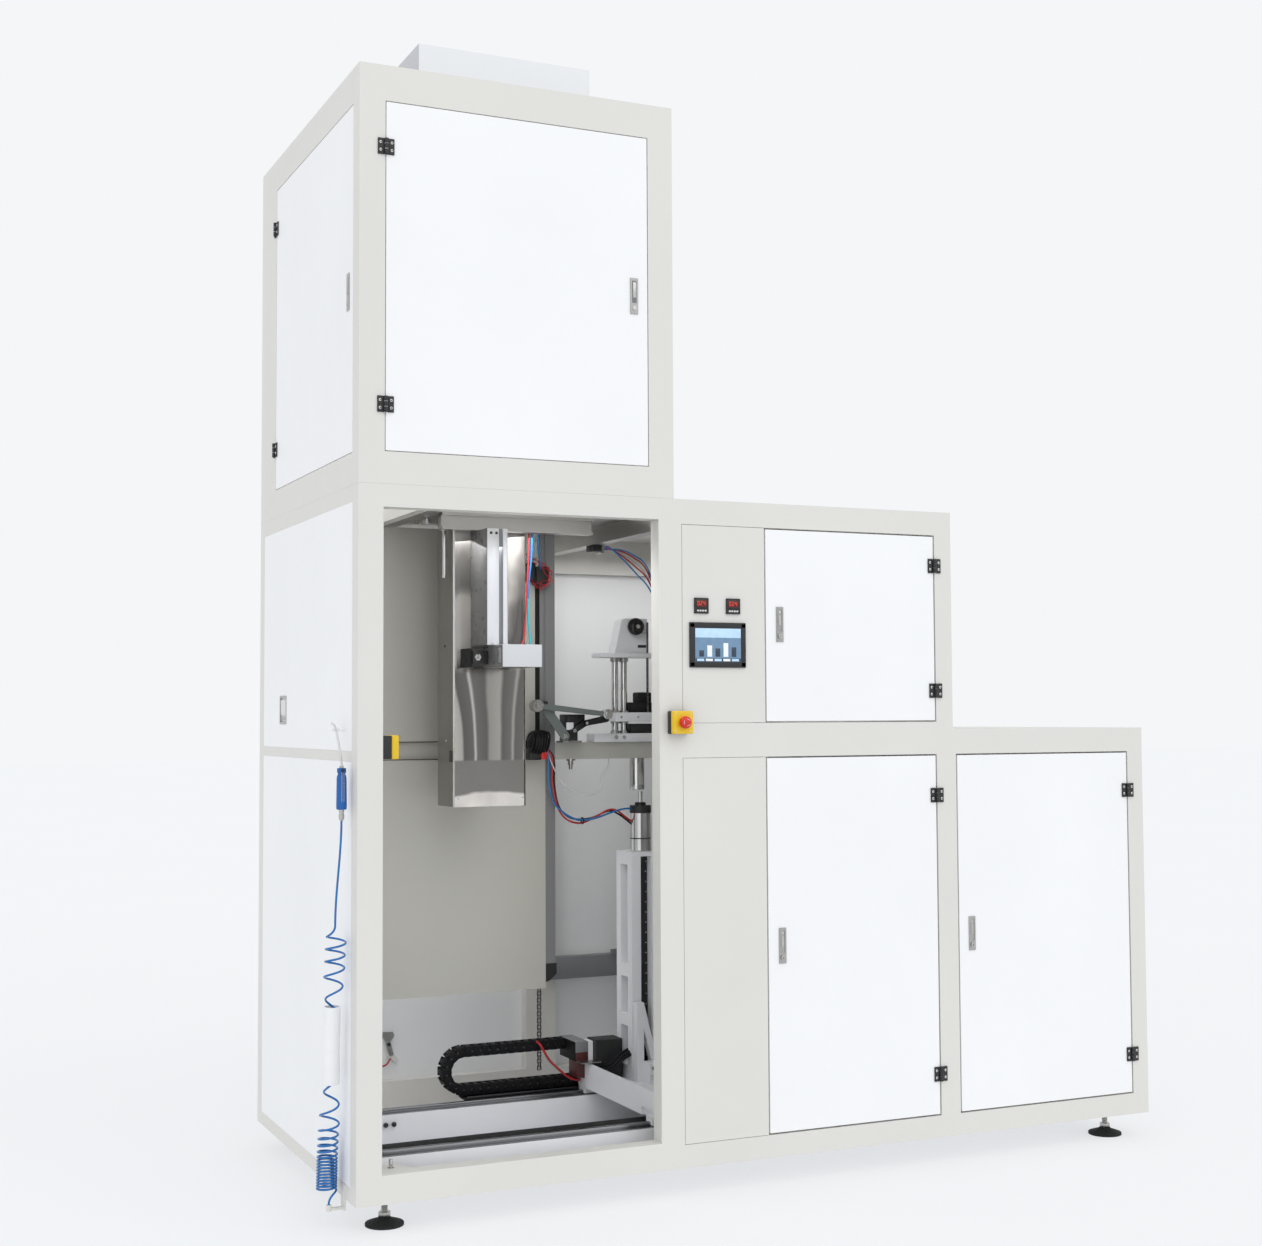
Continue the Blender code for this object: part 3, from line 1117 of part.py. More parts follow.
def gripper_arm():
    """Bag-mouth gripper beside the post: a lever, its slanted link plate and their stand."""
    front = INNER_PANEL_Y - GRIPPER_REACH
    y = (front, front + GRIPPER_DEPTH)
    middle_y = (y[0] + y[1]) / 2
    right_z = GRIPPER_Z - GRIPPER_DROP
    lever = [(GRIPPER_LEFT, GRIPPER_Z - GRIPPER_ROOT / 2), (GRIPPER_RIGHT, right_z - GRIPPER_TIP / 2),
             (GRIPPER_RIGHT, right_z + GRIPPER_TIP / 2), (GRIPPER_LEFT, GRIPPER_Z + GRIPPER_ROOT / 2)]
    arm = sheet("gripper_arm", lever, GRIPPER_DEPTH, "XZ", front, GREY)
    link_top = GRIPPER_LEFT + LINK_TOP_INSET
    link_low = GRIPPER_LEFT + LINK_LOW_INSET
    link_z = MID_BEAM_TOP + LINK_RISE
    half = LINK_WIDTH / 2
    link = [(link_low - half, link_z), (link_low + half, link_z), (link_top + half, GRIPPER_Z),
            (link_top - half, GRIPPER_Z)]
    stand_left = GRIPPER_LEFT + GRIPPER_STAND_INSET
    link_y = front + LINK_SINK
    join(arm,
         sheet("gripper_link", link, y[1] - link_y + LINK_SINK, "XZ", link_y, None),
         cylinder("gripper_pivot", (GRIPPER_LEFT, middle_y, GRIPPER_Z), GRIPPER_PIVOT_RADIUS,
                  GRIPPER_PIN_LENGTH, "Y", sides=ROD_SIDES, collection=CUTTERS),
         box_cutter("gripper_stand", (stand_left, stand_left + GRIPPER_STAND_WIDTH),
                    (y[1] - GRIPPER_STAND_LAP, INNER_PANEL_Y + GRIPPER_STAND_DEPTH),
                    (MID_BEAM_TOP + SEAT, right_z)),
         cylinder("gripper_joint", (GRIPPER_RIGHT, middle_y, right_z), GRIPPER_JOINT_RADIUS,
                  GRIPPER_PIN_LENGTH, "Y", sides=ROD_SIDES, collection=CUTTERS))
    return arm


def rails():
    """Two painted beams with steel rails, and the tray for the energy chain."""
    x = (SIDE_FRAME + SEAT, LENGTH - SIDE_FRAME - SEAT)
    for name, face in (("front_rail", FRONT_RAIL_FACE), ("back_rail", BACK_RAIL_FACE)):
        beam = block(name, x, (face, face + RAIL_BEAM_WIDTH), (SHEET + SEAT, RAIL_BEAM_TOP), WHITE)
        middle = face + RAIL_BEAM_WIDTH / 2
        join(beam, box_cutter(name + "_track", (x[0] + TRACK_INSET, x[1] - TRACK_INSET),
                              (middle - RAIL_WIDTH / 2, middle + RAIL_WIDTH / 2),
                              (RAIL_BEAM_TOP - BURY, RAIL_TOP)))
        if name == "back_rail":
            join(beam, box_cutter("chain_tray", (CHAIN_BEND_X, CHAIN_LOW_END + TRAY_PAST),
                                  (face + RAIL_BEAM_WIDTH - BURY, CHAIN_BACK + TRAY_EDGE),
                                  (RAIL_BEAM_TOP, CHAIN_BOTTOM - SEAT)))


def carriage():
    """Carriage frame on four shoes, its ladder tower, lift cylinder and motor box."""
    slide = pivot("carriage_slide", (CARRIAGE_LEFT, BACK_RAIL_FACE, RAIL_TOP))
    x = (CARRIAGE_LEFT, CARRIAGE_RIGHT)
    y = (CARRIAGE_FRONT, CARRIAGE_BACK)
    plate = block("carriage_frame", x, y, (CARRIAGE_PLATE_BOTTOM, CARRIAGE_PLATE_TOP), WHITE)
    join(plate,
         box_cutter("left_flange", (x[0], x[0] + FLANGE_THICKNESS), y,
                    (CARRIAGE_PLATE_BOTTOM, FLANGE_TOP)),
         box_cutter("right_flange", (x[1] - FLANGE_THICKNESS, x[1]), y,
                    (CARRIAGE_PLATE_BOTTOM, FLANGE_TOP)))
    cut(plate, box_cutter("flange_step", (x[0] - CUT_PAST, x[0] + FLANGE_THICKNESS - BURY),
                          (y[0] - CUT_PAST, FLANGE_STEP_FRONT),
                          (CARRIAGE_PLATE_BOTTOM - CUT_PAST, CARRIAGE_PLATE_TOP)))
    for rail_name, face in (("front", FRONT_RAIL_FACE), ("back", BACK_RAIL_FACE)):
        middle = face + RAIL_BEAM_WIDTH / 2
        for side, shoe_x in (("left", x[0]), ("right", x[1] - SHOE_LENGTH)):
            name = f"shoe_{rail_name}_{side}"
            width = SHOE_WIDTH / 2
            join(plate, box_cutter(name, (shoe_x + SHOE_END, shoe_x + SHOE_LENGTH - SHOE_END),
                                   (middle - width, middle + width if rail_name == "front"
                                    else y[1] - SHOE_BACK),
                                   (SHOE_BOTTOM, CARRIAGE_PLATE_BOTTOM + BURY)))
            cut(plate, box_cutter(name + "_groove",
                                  (shoe_x - CUT_PAST, shoe_x + SHOE_LENGTH + CUT_PAST),
                                  (middle - RAIL_WIDTH / 2 - SEAT, middle + RAIL_WIDTH / 2 + SEAT),
                                  (SHOE_BOTTOM - CUT_PAST, RAIL_TOP + SEAT)))
    arm_x = (CHAIN_TOP_END + SEAT, x[0] + FLANGE_THICKNESS)
    arm_front = y[1] - CHAIN_ARM_DEPTH
    top = CHAIN_BOTTOM + 2 * CHAIN_RADIUS + CHAIN_THICKNESS
    deck_low = CARRIAGE_PLATE_TOP - BURY
    join(plate,
         box_cutter("chain_bracket", arm_x, (arm_front, CHAIN_BACK),
                    (top - CHAIN_THICKNESS - CHAIN_ARM_DROP, top)),
         box_cutter("chain_bracket_foot", (x[0] + SHOE_END, x[0] + SHOE_END + CHAIN_ARM_FOOT),
                    (arm_front, y[1] - FLANGE_THICKNESS), (deck_low, top)))
    post_right = TOWER_FRAME_LEFT + BRACE_POST_WIDTH
    foot_right = post_right + BRACE_REACH
    inner_top = deck_low + (BRACE_TOP - deck_low) * (BRACE_REACH - BRACE_BAR) / BRACE_REACH
    brace = [(TOWER_FRAME_LEFT, deck_low), (post_right, deck_low), (post_right, inner_top),
             (foot_right - BRACE_BAR, deck_low), (foot_right, deck_low), (post_right, BRACE_TOP),
             (TOWER_FRAME_LEFT, BRACE_TOP)]
    bearing_back = BRACE_FRONT + BURY
    join(plate,
         sheet("tower_brace", brace, BRACE_DEPTH, "XZ", BRACE_FRONT, None),
         box_cutter("tower_bearing", (post_right - BURY, post_right + BEARING_LENGTH),
                    (bearing_back - BEARING_DEPTH, bearing_back),
                    (deck_low, CARRIAGE_PLATE_TOP + BEARING_HEIGHT)))
    hang(plate, slide)

    deck = CARRIAGE_PLATE_TOP + SEAT
    tower_x = (TOWER_FRAME_LEFT, TOWER_FRAME_RIGHT)
    tower_y = (TOWER_FRAME_FRONT, TOWER_FRAME_BACK)
    stiles = (tower_y[0] + LADDER_STILE, tower_y[1] - LADDER_STILE)
    slots = [rectangle(stiles, limits) for limits in LADDER_SLOTS]
    ladder = sheet("ladder_tower", rectangle(tower_y, (deck, LADDER_TOP)), LADDER_THICKNESS,
                   "YZ", tower_x[0], WHITE, slots)
    head_top = LADDER_TOP + LADDER_HEAD_PROUD
    join(ladder,
         box_cutter("tower_head", tower_x, tower_y, (LADDER_TOP - LADDER_END_PLATE, head_top)),
         box_cutter("tower_right_leg", (tower_x[1] - LADDER_LEG_WIDTH, tower_x[1]),
                    (tower_y[0], tower_y[0] + LADDER_LEG_DEPTH),
                    (deck, LADDER_TOP - LADDER_END_PLATE + BURY)),
         box_cutter("tower_foot", tower_x, tower_y, (deck, deck + LADDER_END_PLATE)))
    hang(ladder, slide)

    middle = (TOP_TUBE_X, (tower_y[0] + tower_y[1]) / 2)
    top = head_top + SEAT
    collar = CYLINDER_RADIUS + COLLAR_PROUD
    profile = [(0.0, LIFT_ROD_TOP), (LIFT_ROD_RADIUS, LIFT_ROD_TOP),
               (LIFT_ROD_RADIUS, COLLAR_TOP), (collar - COLLAR_CHAMFER, COLLAR_TOP),
               (collar, COLLAR_TOP - COLLAR_CHAMFER), (collar, CYLINDER_TOP),
               (CYLINDER_RADIUS, CYLINDER_TOP), (CYLINDER_RADIUS, top), (0.0, top)]
    hang(turned("lift_cylinder", profile, (*middle, 0.0), STEEL), slide)
    hang(block("motor_box", (MOTOR_LEFT, MOTOR_RIGHT), (MOTOR_FRONT, MOTOR_BACK),
               (deck, MOTOR_TOP), BLACK, MOTOR_ROUND), slide)
    return slide


def energy_chain():
    """Cable chain: lower run in its tray, bend, and upper run to the carriage."""
    low = CHAIN_BOTTOM
    middle = low + CHAIN_THICKNESS / 2 + CHAIN_RADIUS
    outer = CHAIN_RADIUS + CHAIN_THICKNESS / 2
    inner = CHAIN_RADIUS - CHAIN_THICKNESS / 2
    steps = CHAIN_BEND_STEPS

    def bend(radius, backwards):
        order = range(steps, -1, -1) if backwards else range(steps + 1)
        return [(CHAIN_BEND_X - radius * math.sin(math.pi * k / steps),
                 middle - radius * math.cos(math.pi * k / steps)) for k in order]

    outline = [(CHAIN_LOW_END, low), *bend(outer, False), (CHAIN_TOP_END, middle + outer),
               (CHAIN_TOP_END, middle + inner), *bend(inner, True),
               (CHAIN_LOW_END, low + CHAIN_THICKNESS)]
    return sheet("energy_chain", outline, CHAIN_BACK - CHAIN_FRONT, "XZ", CHAIN_FRONT, BLACK)


# Air gun and hose

GUN_TOP = Vector((-GUN_OUT, GUN_Y, SIDE_UPPER_BOTTOM - GUN_DROP))
GUN_BOTTOM = GUN_TOP - Vector((0, 0, GUN_LENGTH))
# The nozzle's route from the gun's top. It hangs over the hook at the third point.
NOZZLE_ROUTE = [(0, 0, 0.010), (0, 0.025, 0.060), (0, 0.070, 0.118), (0, 0.110, 0.130)]
# The hose's route down from the gun's bottom
HOSE_ROUTE = [(0, 0, -0.0315), (0, 0, -0.070), (0, -0.001, -0.160), (0, 0.008, -0.250),
              (-0.004, 0.024, -0.310), (-0.015, 0.030, -0.355), (-0.015, 0.030, -0.3717)]
COIL_TOP = GUN_BOTTOM + Vector((-0.015, 0.030, -0.3720))
TAIL_LOW = Vector((COIL_TOP.x, 0.130, -0.0150))
HOSE_STEPS = 40
NOZZLE_STEPS = 18
GUN_TAPER_SHARE = 0.8
SLEEVE_TOP_SHARE = 0.260
SLEEVE_LOW_SHARE = 0.550
COIL_LOW = COIL_TOP.lerp(TAIL_LOW, SLEEVE_TOP_SHARE)
SLEEVE_LOW = COIL_TOP.lerp(TAIL_LOW, SLEEVE_LOW_SHARE)
COIL_RADIUS = 0.034
SLEEVE_RADIUS = 0.026
TAIL_RADIUS = 0.030


def hook_place():
    """Centre of the hook's pin, one seat clear below the bent nozzle."""
    before, rest, after = (Vector(point) for point in NOZZLE_ROUTE[1:])
    along = (after - before).normalized()
    below = Vector((0.0, along.z, -along.y))
    return GUN_TOP + rest + below * (NOZZLE_RADIUS + SEAT + HOOK_RADIUS)


def hose_fitting():
    """Plate, arm and stub under the last coil, where the hose enters the machine."""
    top = TAIL_LOW.z - FITTING_CLEARANCE
    low = top - FITTING_HEIGHT
    centre_x = FITTING_RADIUS - FITTING_REACH
    half = FITTING_PLATE_WIDTH / 2
    arm_half = FITTING_RADIUS * FITTING_ARM_SHARE
    return (
        box_cutter("fitting_plate", (-FITTING_PLATE, BURY), (TAIL_LOW.y - half, TAIL_LOW.y + half),
                   (low, FITTING_PLATE_TOP)),
        box_cutter("fitting_arm", (centre_x, BURY - FITTING_PLATE),
                   (TAIL_LOW.y - arm_half, TAIL_LOW.y + arm_half),
                   (low + BURY, low + FITTING_HEIGHT / 2)),
        cylinder("fitting_stub", (centre_x, TAIL_LOW.y, (low + top) / 2), FITTING_RADIUS,
                 FITTING_HEIGHT, sides=ROD_SIDES, collection=CUTTERS),
    )


def air_gun():
    """Blow gun hanging on a hook on the left side, with its coiled hose."""
    across = GUN_BOTTOM - GUN_TOP
    middle = (GUN_TOP + GUN_BOTTOM) / 2
    gun = cylinder("air_gun", middle, GUN_RADIUS, across.length, "Z", BLUE, ROD_SIDES,
                   GUN_RADIUS * GUN_TAPER_SHARE)
    gun.rotation_euler = across.to_track_quat("-Z", "Y").to_euler()
    route = [GUN_TOP + Vector(point) for point in NOZZLE_ROUTE]
    nozzle = tube("air_nozzle",
                  [GUN_TOP + Vector((0, 0, SEAT))] + smooth_route(route, NOZZLE_STEPS),
                  NOZZLE_RADIUS, STEEL)
    join(gun, cylinder("hose_connector", GUN_BOTTOM - Vector((0, 0, CONNECTOR_DROP)),
                       CONNECTOR_RADIUS, CONNECTOR_LENGTH, "Z", sides=KNUCKLE_SIDES,
                       collection=CUTTERS))
    down = [GUN_BOTTOM + Vector(point) for point in HOSE_ROUTE]
    tube("air_hose", [down[0]] + smooth_route(down[1:-1], HOSE_STEPS) + [down[-1]], HOSE_RADIUS,
         BLUE)
    for name, top, low, radius in (("hose_coil_upper", COIL_TOP, COIL_LOW, COIL_RADIUS),
                                   ("hose_sleeve", COIL_LOW, SLEEVE_LOW, SLEEVE_RADIUS),
                                   ("hose_coil_lower", SLEEVE_LOW, TAIL_LOW, TAIL_RADIUS)):
        span = top - low
        gap = span.normalized() * SEAT
        piece = cylinder(name, (top + low) / 2, radius, (span - gap * 2).length, "Z",
                         WHITE if name == "hose_sleeve" else BLUE, ROD_SIDES)
        piece.rotation_euler = span.to_track_quat("Z", "Y").to_euler()
    return nozzle


def build():
    frame = front_frame()
    upper = (MID_DOOR_LEFT, MID_DOOR_RIGHT)
    hinged_door("upper_door", frame, upper, (UPPER_DOOR_BOTTOM, UPPER_DOOR_TOP), UPPER_LOCK_Z,
                (UPPER_DOOR_BOTTOM + HINGE_INSET_UPPER, UPPER_DOOR_TOP - HINGE_INSET_UPPER))
    tall = (LOWER_DOOR_BOTTOM, LOWER_DOOR_TOP)
    heights = (tall[0] + HINGE_INSET_LOWER, tall[1] - HINGE_INSET_LOWER)
    hinged_door("lower_door", frame, upper, tall, LOWER_LOCK_Z, heights)
    hinged_door("right_door", frame, (LOW_DOOR_LEFT, LOW_DOOR_RIGHT), tall, LOWER_LOCK_Z, heights)
    side_walls()
    back_wall()
    floor_and_roofs()
    control_column()
    tower()
    feet()
    ceiling()
    filling_spout()
    bag_clamp()
    inner_walls()
    head_unit()
    gripper_arm()
    rails()
    carriage()
    energy_chain()
    air_gun()


build()
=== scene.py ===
import math

import bmesh
import bpy
from mathutils import Matrix, Vector


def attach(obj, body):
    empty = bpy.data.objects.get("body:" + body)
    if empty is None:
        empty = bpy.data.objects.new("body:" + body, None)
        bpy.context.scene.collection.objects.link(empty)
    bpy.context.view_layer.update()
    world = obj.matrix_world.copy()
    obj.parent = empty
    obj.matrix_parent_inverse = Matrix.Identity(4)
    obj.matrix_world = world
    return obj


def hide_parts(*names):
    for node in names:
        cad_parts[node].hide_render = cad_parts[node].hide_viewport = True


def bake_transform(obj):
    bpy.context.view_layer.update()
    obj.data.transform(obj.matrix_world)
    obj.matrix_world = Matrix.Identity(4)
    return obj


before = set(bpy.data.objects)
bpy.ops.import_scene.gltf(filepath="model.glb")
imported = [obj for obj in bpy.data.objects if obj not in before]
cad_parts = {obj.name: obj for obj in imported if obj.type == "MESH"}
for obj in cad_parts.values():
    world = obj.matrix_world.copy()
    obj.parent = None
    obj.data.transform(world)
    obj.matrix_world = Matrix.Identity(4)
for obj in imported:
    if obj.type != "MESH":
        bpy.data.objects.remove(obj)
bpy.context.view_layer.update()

# Places below are in the cabinet's own frame: origin at the front left bottom corner of the body,
# X right along the front, Y back into the cabinet, Z up, in metres
SHIFT = Vector((-1.4185, -0.5885, 0.085))
UP = Vector((0, 0, 1))
DOWN = (0, 0, -1)
FRONT = (0, -1, 0)
LEFT = (-1, 0, 0)
FLOOR = -0.085
# Heights of the middle beam's top and of the ceiling plate's underside, and the head's axis
BEAM_TOP = 1.3203
CEILING = 2.0597
HEAD_Y = 0.7225


def row(point):
    return Vector(point) + SHIFT


# Camera, from the corners of the machine in the photograph

PHOTO_WIDTH = 1262
FOCAL_PIXELS = 1788.25
SENSOR = 36.0
CAMERA_PLACE = Vector((-2.86809, -5.66931, 1.49182))


def make_camera():
    yaw, pitch, roll = 0.42967, 0.05269, -0.00472
    forward = Vector((math.sin(yaw) * math.cos(pitch), math.cos(yaw) * math.cos(pitch),
                      math.sin(pitch)))
    right = Vector((math.cos(yaw), -math.sin(yaw), 0.0))
    up = right.cross(forward)
    across = right * math.cos(roll) + up * math.sin(roll)
    above = -right * math.sin(roll) + up * math.cos(roll)
    data = bpy.data.cameras.new("camera")
    data.sensor_fit = "HORIZONTAL"
    data.sensor_width = SENSOR
    data.lens = FOCAL_PIXELS / PHOTO_WIDTH * SENSOR
    data.clip_start = 0.1
    data.clip_end = 200.0
    made = bpy.data.objects.new("camera", data)
    bpy.context.scene.collection.objects.link(made)
    place = Matrix((across, above, -forward)).transposed().to_4x4()
    place.translation = CAMERA_PLACE
    made.matrix_world = place
    bpy.context.scene.camera = made


make_camera()


# Materials

def nodes_for(name):
    made = bpy.data.materials.new(name)
    made.use_nodes = True
    tree = made.node_tree
    tree.nodes.clear()
    out = tree.nodes.new("ShaderNodeOutputMaterial")
    shader = tree.nodes.new("ShaderNodeBsdfPrincipled")
    tree.links.new(shader.outputs[0], out.inputs[0])
    return made, tree, shader


def noise(tree, scale, detail=3.0, roughness=0.5, stretch=(1, 1, 1)):
    place = tree.nodes.new("ShaderNodeTexCoord")
    fit = tree.nodes.new("ShaderNodeMapping")
    fit.inputs["Scale"].default_value = stretch
    made = tree.nodes.new("ShaderNodeTexNoise")
    made.inputs["Scale"].default_value = scale
    made.inputs["Detail"].default_value = detail
    made.inputs["Roughness"].default_value = roughness
    tree.links.new(place.outputs["Object"], fit.inputs["Vector"])
    tree.links.new(fit.outputs["Vector"], made.inputs["Vector"])
    return made.outputs["Fac"]


def spread(tree, value, low, high, start=0.3, end=0.7):
    made = tree.nodes.new("ShaderNodeMapRange")
    made.inputs["From Min"].default_value = start
    made.inputs["From Max"].default_value = end
    made.inputs["To Min"].default_value = low
    made.inputs["To Max"].default_value = high
    tree.links.new(value, made.inputs["Value"])
    return made.outputs["Result"]


def tint(tree, value, dark, light, start=0.3, end=0.7):
    made = tree.nodes.new("ShaderNodeValToRGB")
    made.color_ramp.elements[0].position = start
    made.color_ramp.elements[0].color = (*dark, 1)
    made.color_ramp.elements[1].position = end
    made.color_ramp.elements[1].color = (*light, 1)
    tree.links.new(value, made.inputs["Fac"])
    return made.outputs["Color"]


def bump(tree, height, distance, strength=1.0, under=None):
    made = tree.nodes.new("ShaderNodeBump")
    made.inputs["Distance"].default_value = distance
    made.inputs["Strength"].default_value = strength
    tree.links.new(height, made.inputs["Height"])
    if under:
        tree.links.new(under, made.inputs["Normal"])
    return made.outputs["Normal"]


def darker(colour, share):
    return tuple(c * share for c in colour)


def coating(name, colour, roughness=0.42, peel=0.00006, drift=0.965, blotch=1.6, coat=0.0):
    """Sprayed paint: a fine orange peel, a slow drift of tone and a slightly uneven gloss."""
    made, tree, shader = nodes_for(name)
    slow = noise(tree, blotch, 4.0, 0.6)
    tree.links.new(tint(tree, slow, darker(colour, drift), colour), shader.inputs["Base Color"])
    middle = noise(tree, 34.0, 3.0)
    tree.links.new(spread(tree, middle, roughness - 0.05, roughness + 0.06),
                   shader.inputs["Roughness"])
    fine = noise(tree, 520.0, 2.0)
    broad = bump(tree, noise(tree, 5.0, 1.0), 0.0008)
    tree.links.new(bump(tree, fine, peel, 1.0, broad), shader.inputs["Normal"])
    shader.inputs["Coat Weight"].default_value = coat
    shader.inputs["Coat Roughness"].default_value = 0.2
    return made


def plastic(name, colour, roughness=0.4, grain=0.00004, drift=0.85, shine=0.5):
    """Moulded plastic: a fine spark-eroded grain and small scuffs in the gloss."""
    made, tree, shader = nodes_for(name)
    tree.links.new(tint(tree, noise(tree, 14.0, 4.0), darker(colour, drift), colour),
                   shader.inputs["Base Color"])
    tree.links.new(spread(tree, noise(tree, 60.0, 5.0, 0.7), roughness - 0.08, roughness + 0.1),
                   shader.inputs["Roughness"])
    tree.links.new(bump(tree, noise(tree, 1400.0, 2.0), grain), shader.inputs["Normal"])
    shader.inputs["Specular IOR Level"].default_value = shine
    return made


def metal(name, colour, roughness, streak=(1, 1, 1), depth=0.00002, drift=0.8, wave=0.0,
          wave_scale=4.0):
    """Bare metal: a drawn or rolled grain along one axis, and slow waves where it is thin."""
    made, tree, shader = nodes_for(name)
    grain = noise(tree, 300.0, 4.0, 0.65, streak)
    tree.links.new(tint(tree, noise(tree, 9.0, 4.0, 0.6, streak), darker(colour, drift), colour),
                   shader.inputs["Base Color"])
    tree.links.new(spread(tree, grain, max(0.02, roughness - 0.06), roughness + 0.08),
                   shader.inputs["Roughness"])
    shader.inputs["Metallic"].default_value = 1.0
    under = bump(tree, noise(tree, wave_scale, 1.5, 0.4), wave) if wave else None
    tree.links.new(bump(tree, grain, depth, 1.0, under), shader.inputs["Normal"])
    return made


def clear_tube(name, colour, roughness=0.12):
    """Drawn polyurethane tube: glossy, and a little see-through in its tone."""
    made, tree, shader = nodes_for(name)
    tree.links.new(tint(tree, noise(tree, 26.0, 3.0), darker(colour, 0.8), colour),
                   shader.inputs["Base Color"])
    tree.links.new(spread(tree, noise(tree, 120.0, 3.0), roughness, roughness + 0.14),
                   shader.inputs["Roughness"])
    tree.links.new(bump(tree, noise(tree, 240.0, 2.0), 0.00002), shader.inputs["Normal"])
    shader.inputs["Coat Weight"].default_value = 0.35
    shader.inputs["Coat Roughness"].default_value = 0.06
    return made


def glowing(name, colour, light, strength, roughness=0.2):
    """A display behind its glass: an even glow with a faint dither."""
    made, tree, shader = nodes_for(name)
    tree.links.new(tint(tree, noise(tree, 260.0, 2.0), darker(colour, 0.85), colour),
                   shader.inputs["Base Color"])
    tree.links.new(tint(tree, noise(tree, 60.0, 2.0), darker(light, 0.8), light),
                   shader.inputs["Emission Color"])
    shader.inputs["Emission Strength"].default_value = strength
    shader.inputs["Roughness"].default_value = roughness
    return made


BEIGE = coating("beige_powder_coat", (0.710, 0.700, 0.665), 0.46)
WHITE = coating("white_powder_coat", (0.880, 0.885, 0.895), 0.42)
INNER_WHITE = coating("inner_white_paint", (0.800, 0.805, 0.830), 0.45)
# A darker copy of the beige frame paint for the middle beam: painted shade
BEIGE_PAINTED_SHADE = coating("beige_with_painted_shade", (0.400, 0.395, 0.360), 0.46)
GREY = coating("grey_hammer_paint", (0.450, 0.442, 0.400), 0.38, 0.00009)
ARM_GREY = coating("grey_green_paint", (0.130, 0.150, 0.140), 0.36, 0.00009)
RAIL_GREY = coating("rail_grey_paint", (0.200, 0.205, 0.215), 0.45)
POST_GREY = coating("dark_grey_paint", (0.190, 0.190, 0.192), 0.45)
# Near-black for the clamp's and slide's shaded sides: painted shade
CLAMP_PAINTED_SHADE = coating("clamp_side_painted_shade", (0.115, 0.114, 0.113), 0.30, drift=0.9)
CLAMP_WHITE = coating("clamp_paint", (0.450, 0.460, 0.475), 0.42)
HEAD_WHITE = coating("head_casting_paint", (0.620, 0.625, 0.640), 0.40)
DUCT_WHITE = coating("duct_paint", (0.790, 0.800, 0.820), 0.42)
# Darker duct paint for the duct's left wall: painted shade
DUCT_LEFT_PAINTED_SHADE = coating("duct_left_painted_shade_paint", (0.540, 0.545, 0.575), 0.42)
BLACK = plastic("black_plastic", (0.016, 0.016, 0.017), 0.42)
GLOSS_BLACK = plastic("gloss_black", (0.010, 0.010, 0.011), 0.16, 0.00001)
RUBBER = plastic("black_rubber", (0.014, 0.014, 0.014), 0.72, 0.00008, shine=0.3)
CHAIN_BLACK = plastic("chain_nylon", (0.006, 0.006, 0.007), 0.50, shine=0.22)
YELLOW = plastic("yellow_plastic", (0.820, 0.540, 0.010), 0.36, drift=0.92)
RED = plastic("red_plastic", (0.660, 0.022, 0.012), 0.28, drift=0.9)
BLUE = plastic("blue_plastic", (0.003, 0.105, 0.390), 0.36, drift=0.9)
PALE = plastic("pale_plastic", (0.720, 0.720, 0.700), 0.40, drift=0.95)
SLEEVE_WHITE = plastic("sleeve_vinyl", (0.860, 0.865, 0.880), 0.34, drift=0.96)
STEEL = metal("turned_steel", (0.560, 0.550, 0.530), 0.24)
CHROME = metal("chrome_rod", (0.720, 0.720, 0.715), 0.08, depth=0.000004)
SCREW = metal("screw_zinc", (0.720, 0.715, 0.690), 0.22)
# Darker and lighter copies of the spout's sheet: painted shade on its sides, a painted highlight on
# its rims and rounded front corners
SPOUT_SIDE_PAINTED_SHADE = metal("spout_side_painted_shade_metal", (0.340, 0.330, 0.312), 0.34, (1, 1, 0.1), 0.000006, 0.92)
SPOUT_EDGE_PAINTED_HIGHLIGHT = metal("spout_edge_painted_highlight_metal", (0.860, 0.855, 0.840), 0.20, (1, 1, 0.1), 0.000006, 0.95)
CEILING_STEEL = metal("rolled_sheet", (0.470, 0.465, 0.450), 0.34, (0.3, 1, 1), 0.000004, 0.94)
ALUMINIUM = metal("aluminium", (0.700, 0.705, 0.710), 0.32, (1, 1, 0.08))
PALE_ALUMINIUM = metal("pale_aluminium", (0.850, 0.860, 0.880), 0.36, (1, 1, 0.08), drift=0.93)
RAIL_STEEL = metal("ground_rail", (0.360, 0.365, 0.375), 0.20, (0.04, 1, 1), 0.000006, 0.7)
DARK_STEEL = metal("blackened_steel", (0.075, 0.075, 0.078), 0.32, (0.1, 1, 1), 0.00001, 0.7)
LOCK_STEEL = metal("satin_lock_steel", (0.480, 0.475, 0.465), 0.30, (1, 1, 0.1))
HOSE_BLUE = clear_tube("blue_hose", (0.0008, 0.150, 0.470))
TUBE_BLUE = clear_tube("blue_tube", (0.012, 0.160, 0.420))
TUBE_TEAL = clear_tube("teal_tube", (0.020, 0.380, 0.450))
TUBE_RED = clear_tube("red_tube", (0.440, 0.022, 0.026))
TUBE_BLACK = plastic("black_tube", (0.006, 0.006, 0.007), 0.38, shine=0.3)
TUBE_CLEAR = clear_tube("clear_tube", (0.620, 0.620, 0.600))
OXIDE_RED = coating("oxide_red_paint", (0.070, 0.014, 0.014), 0.4)


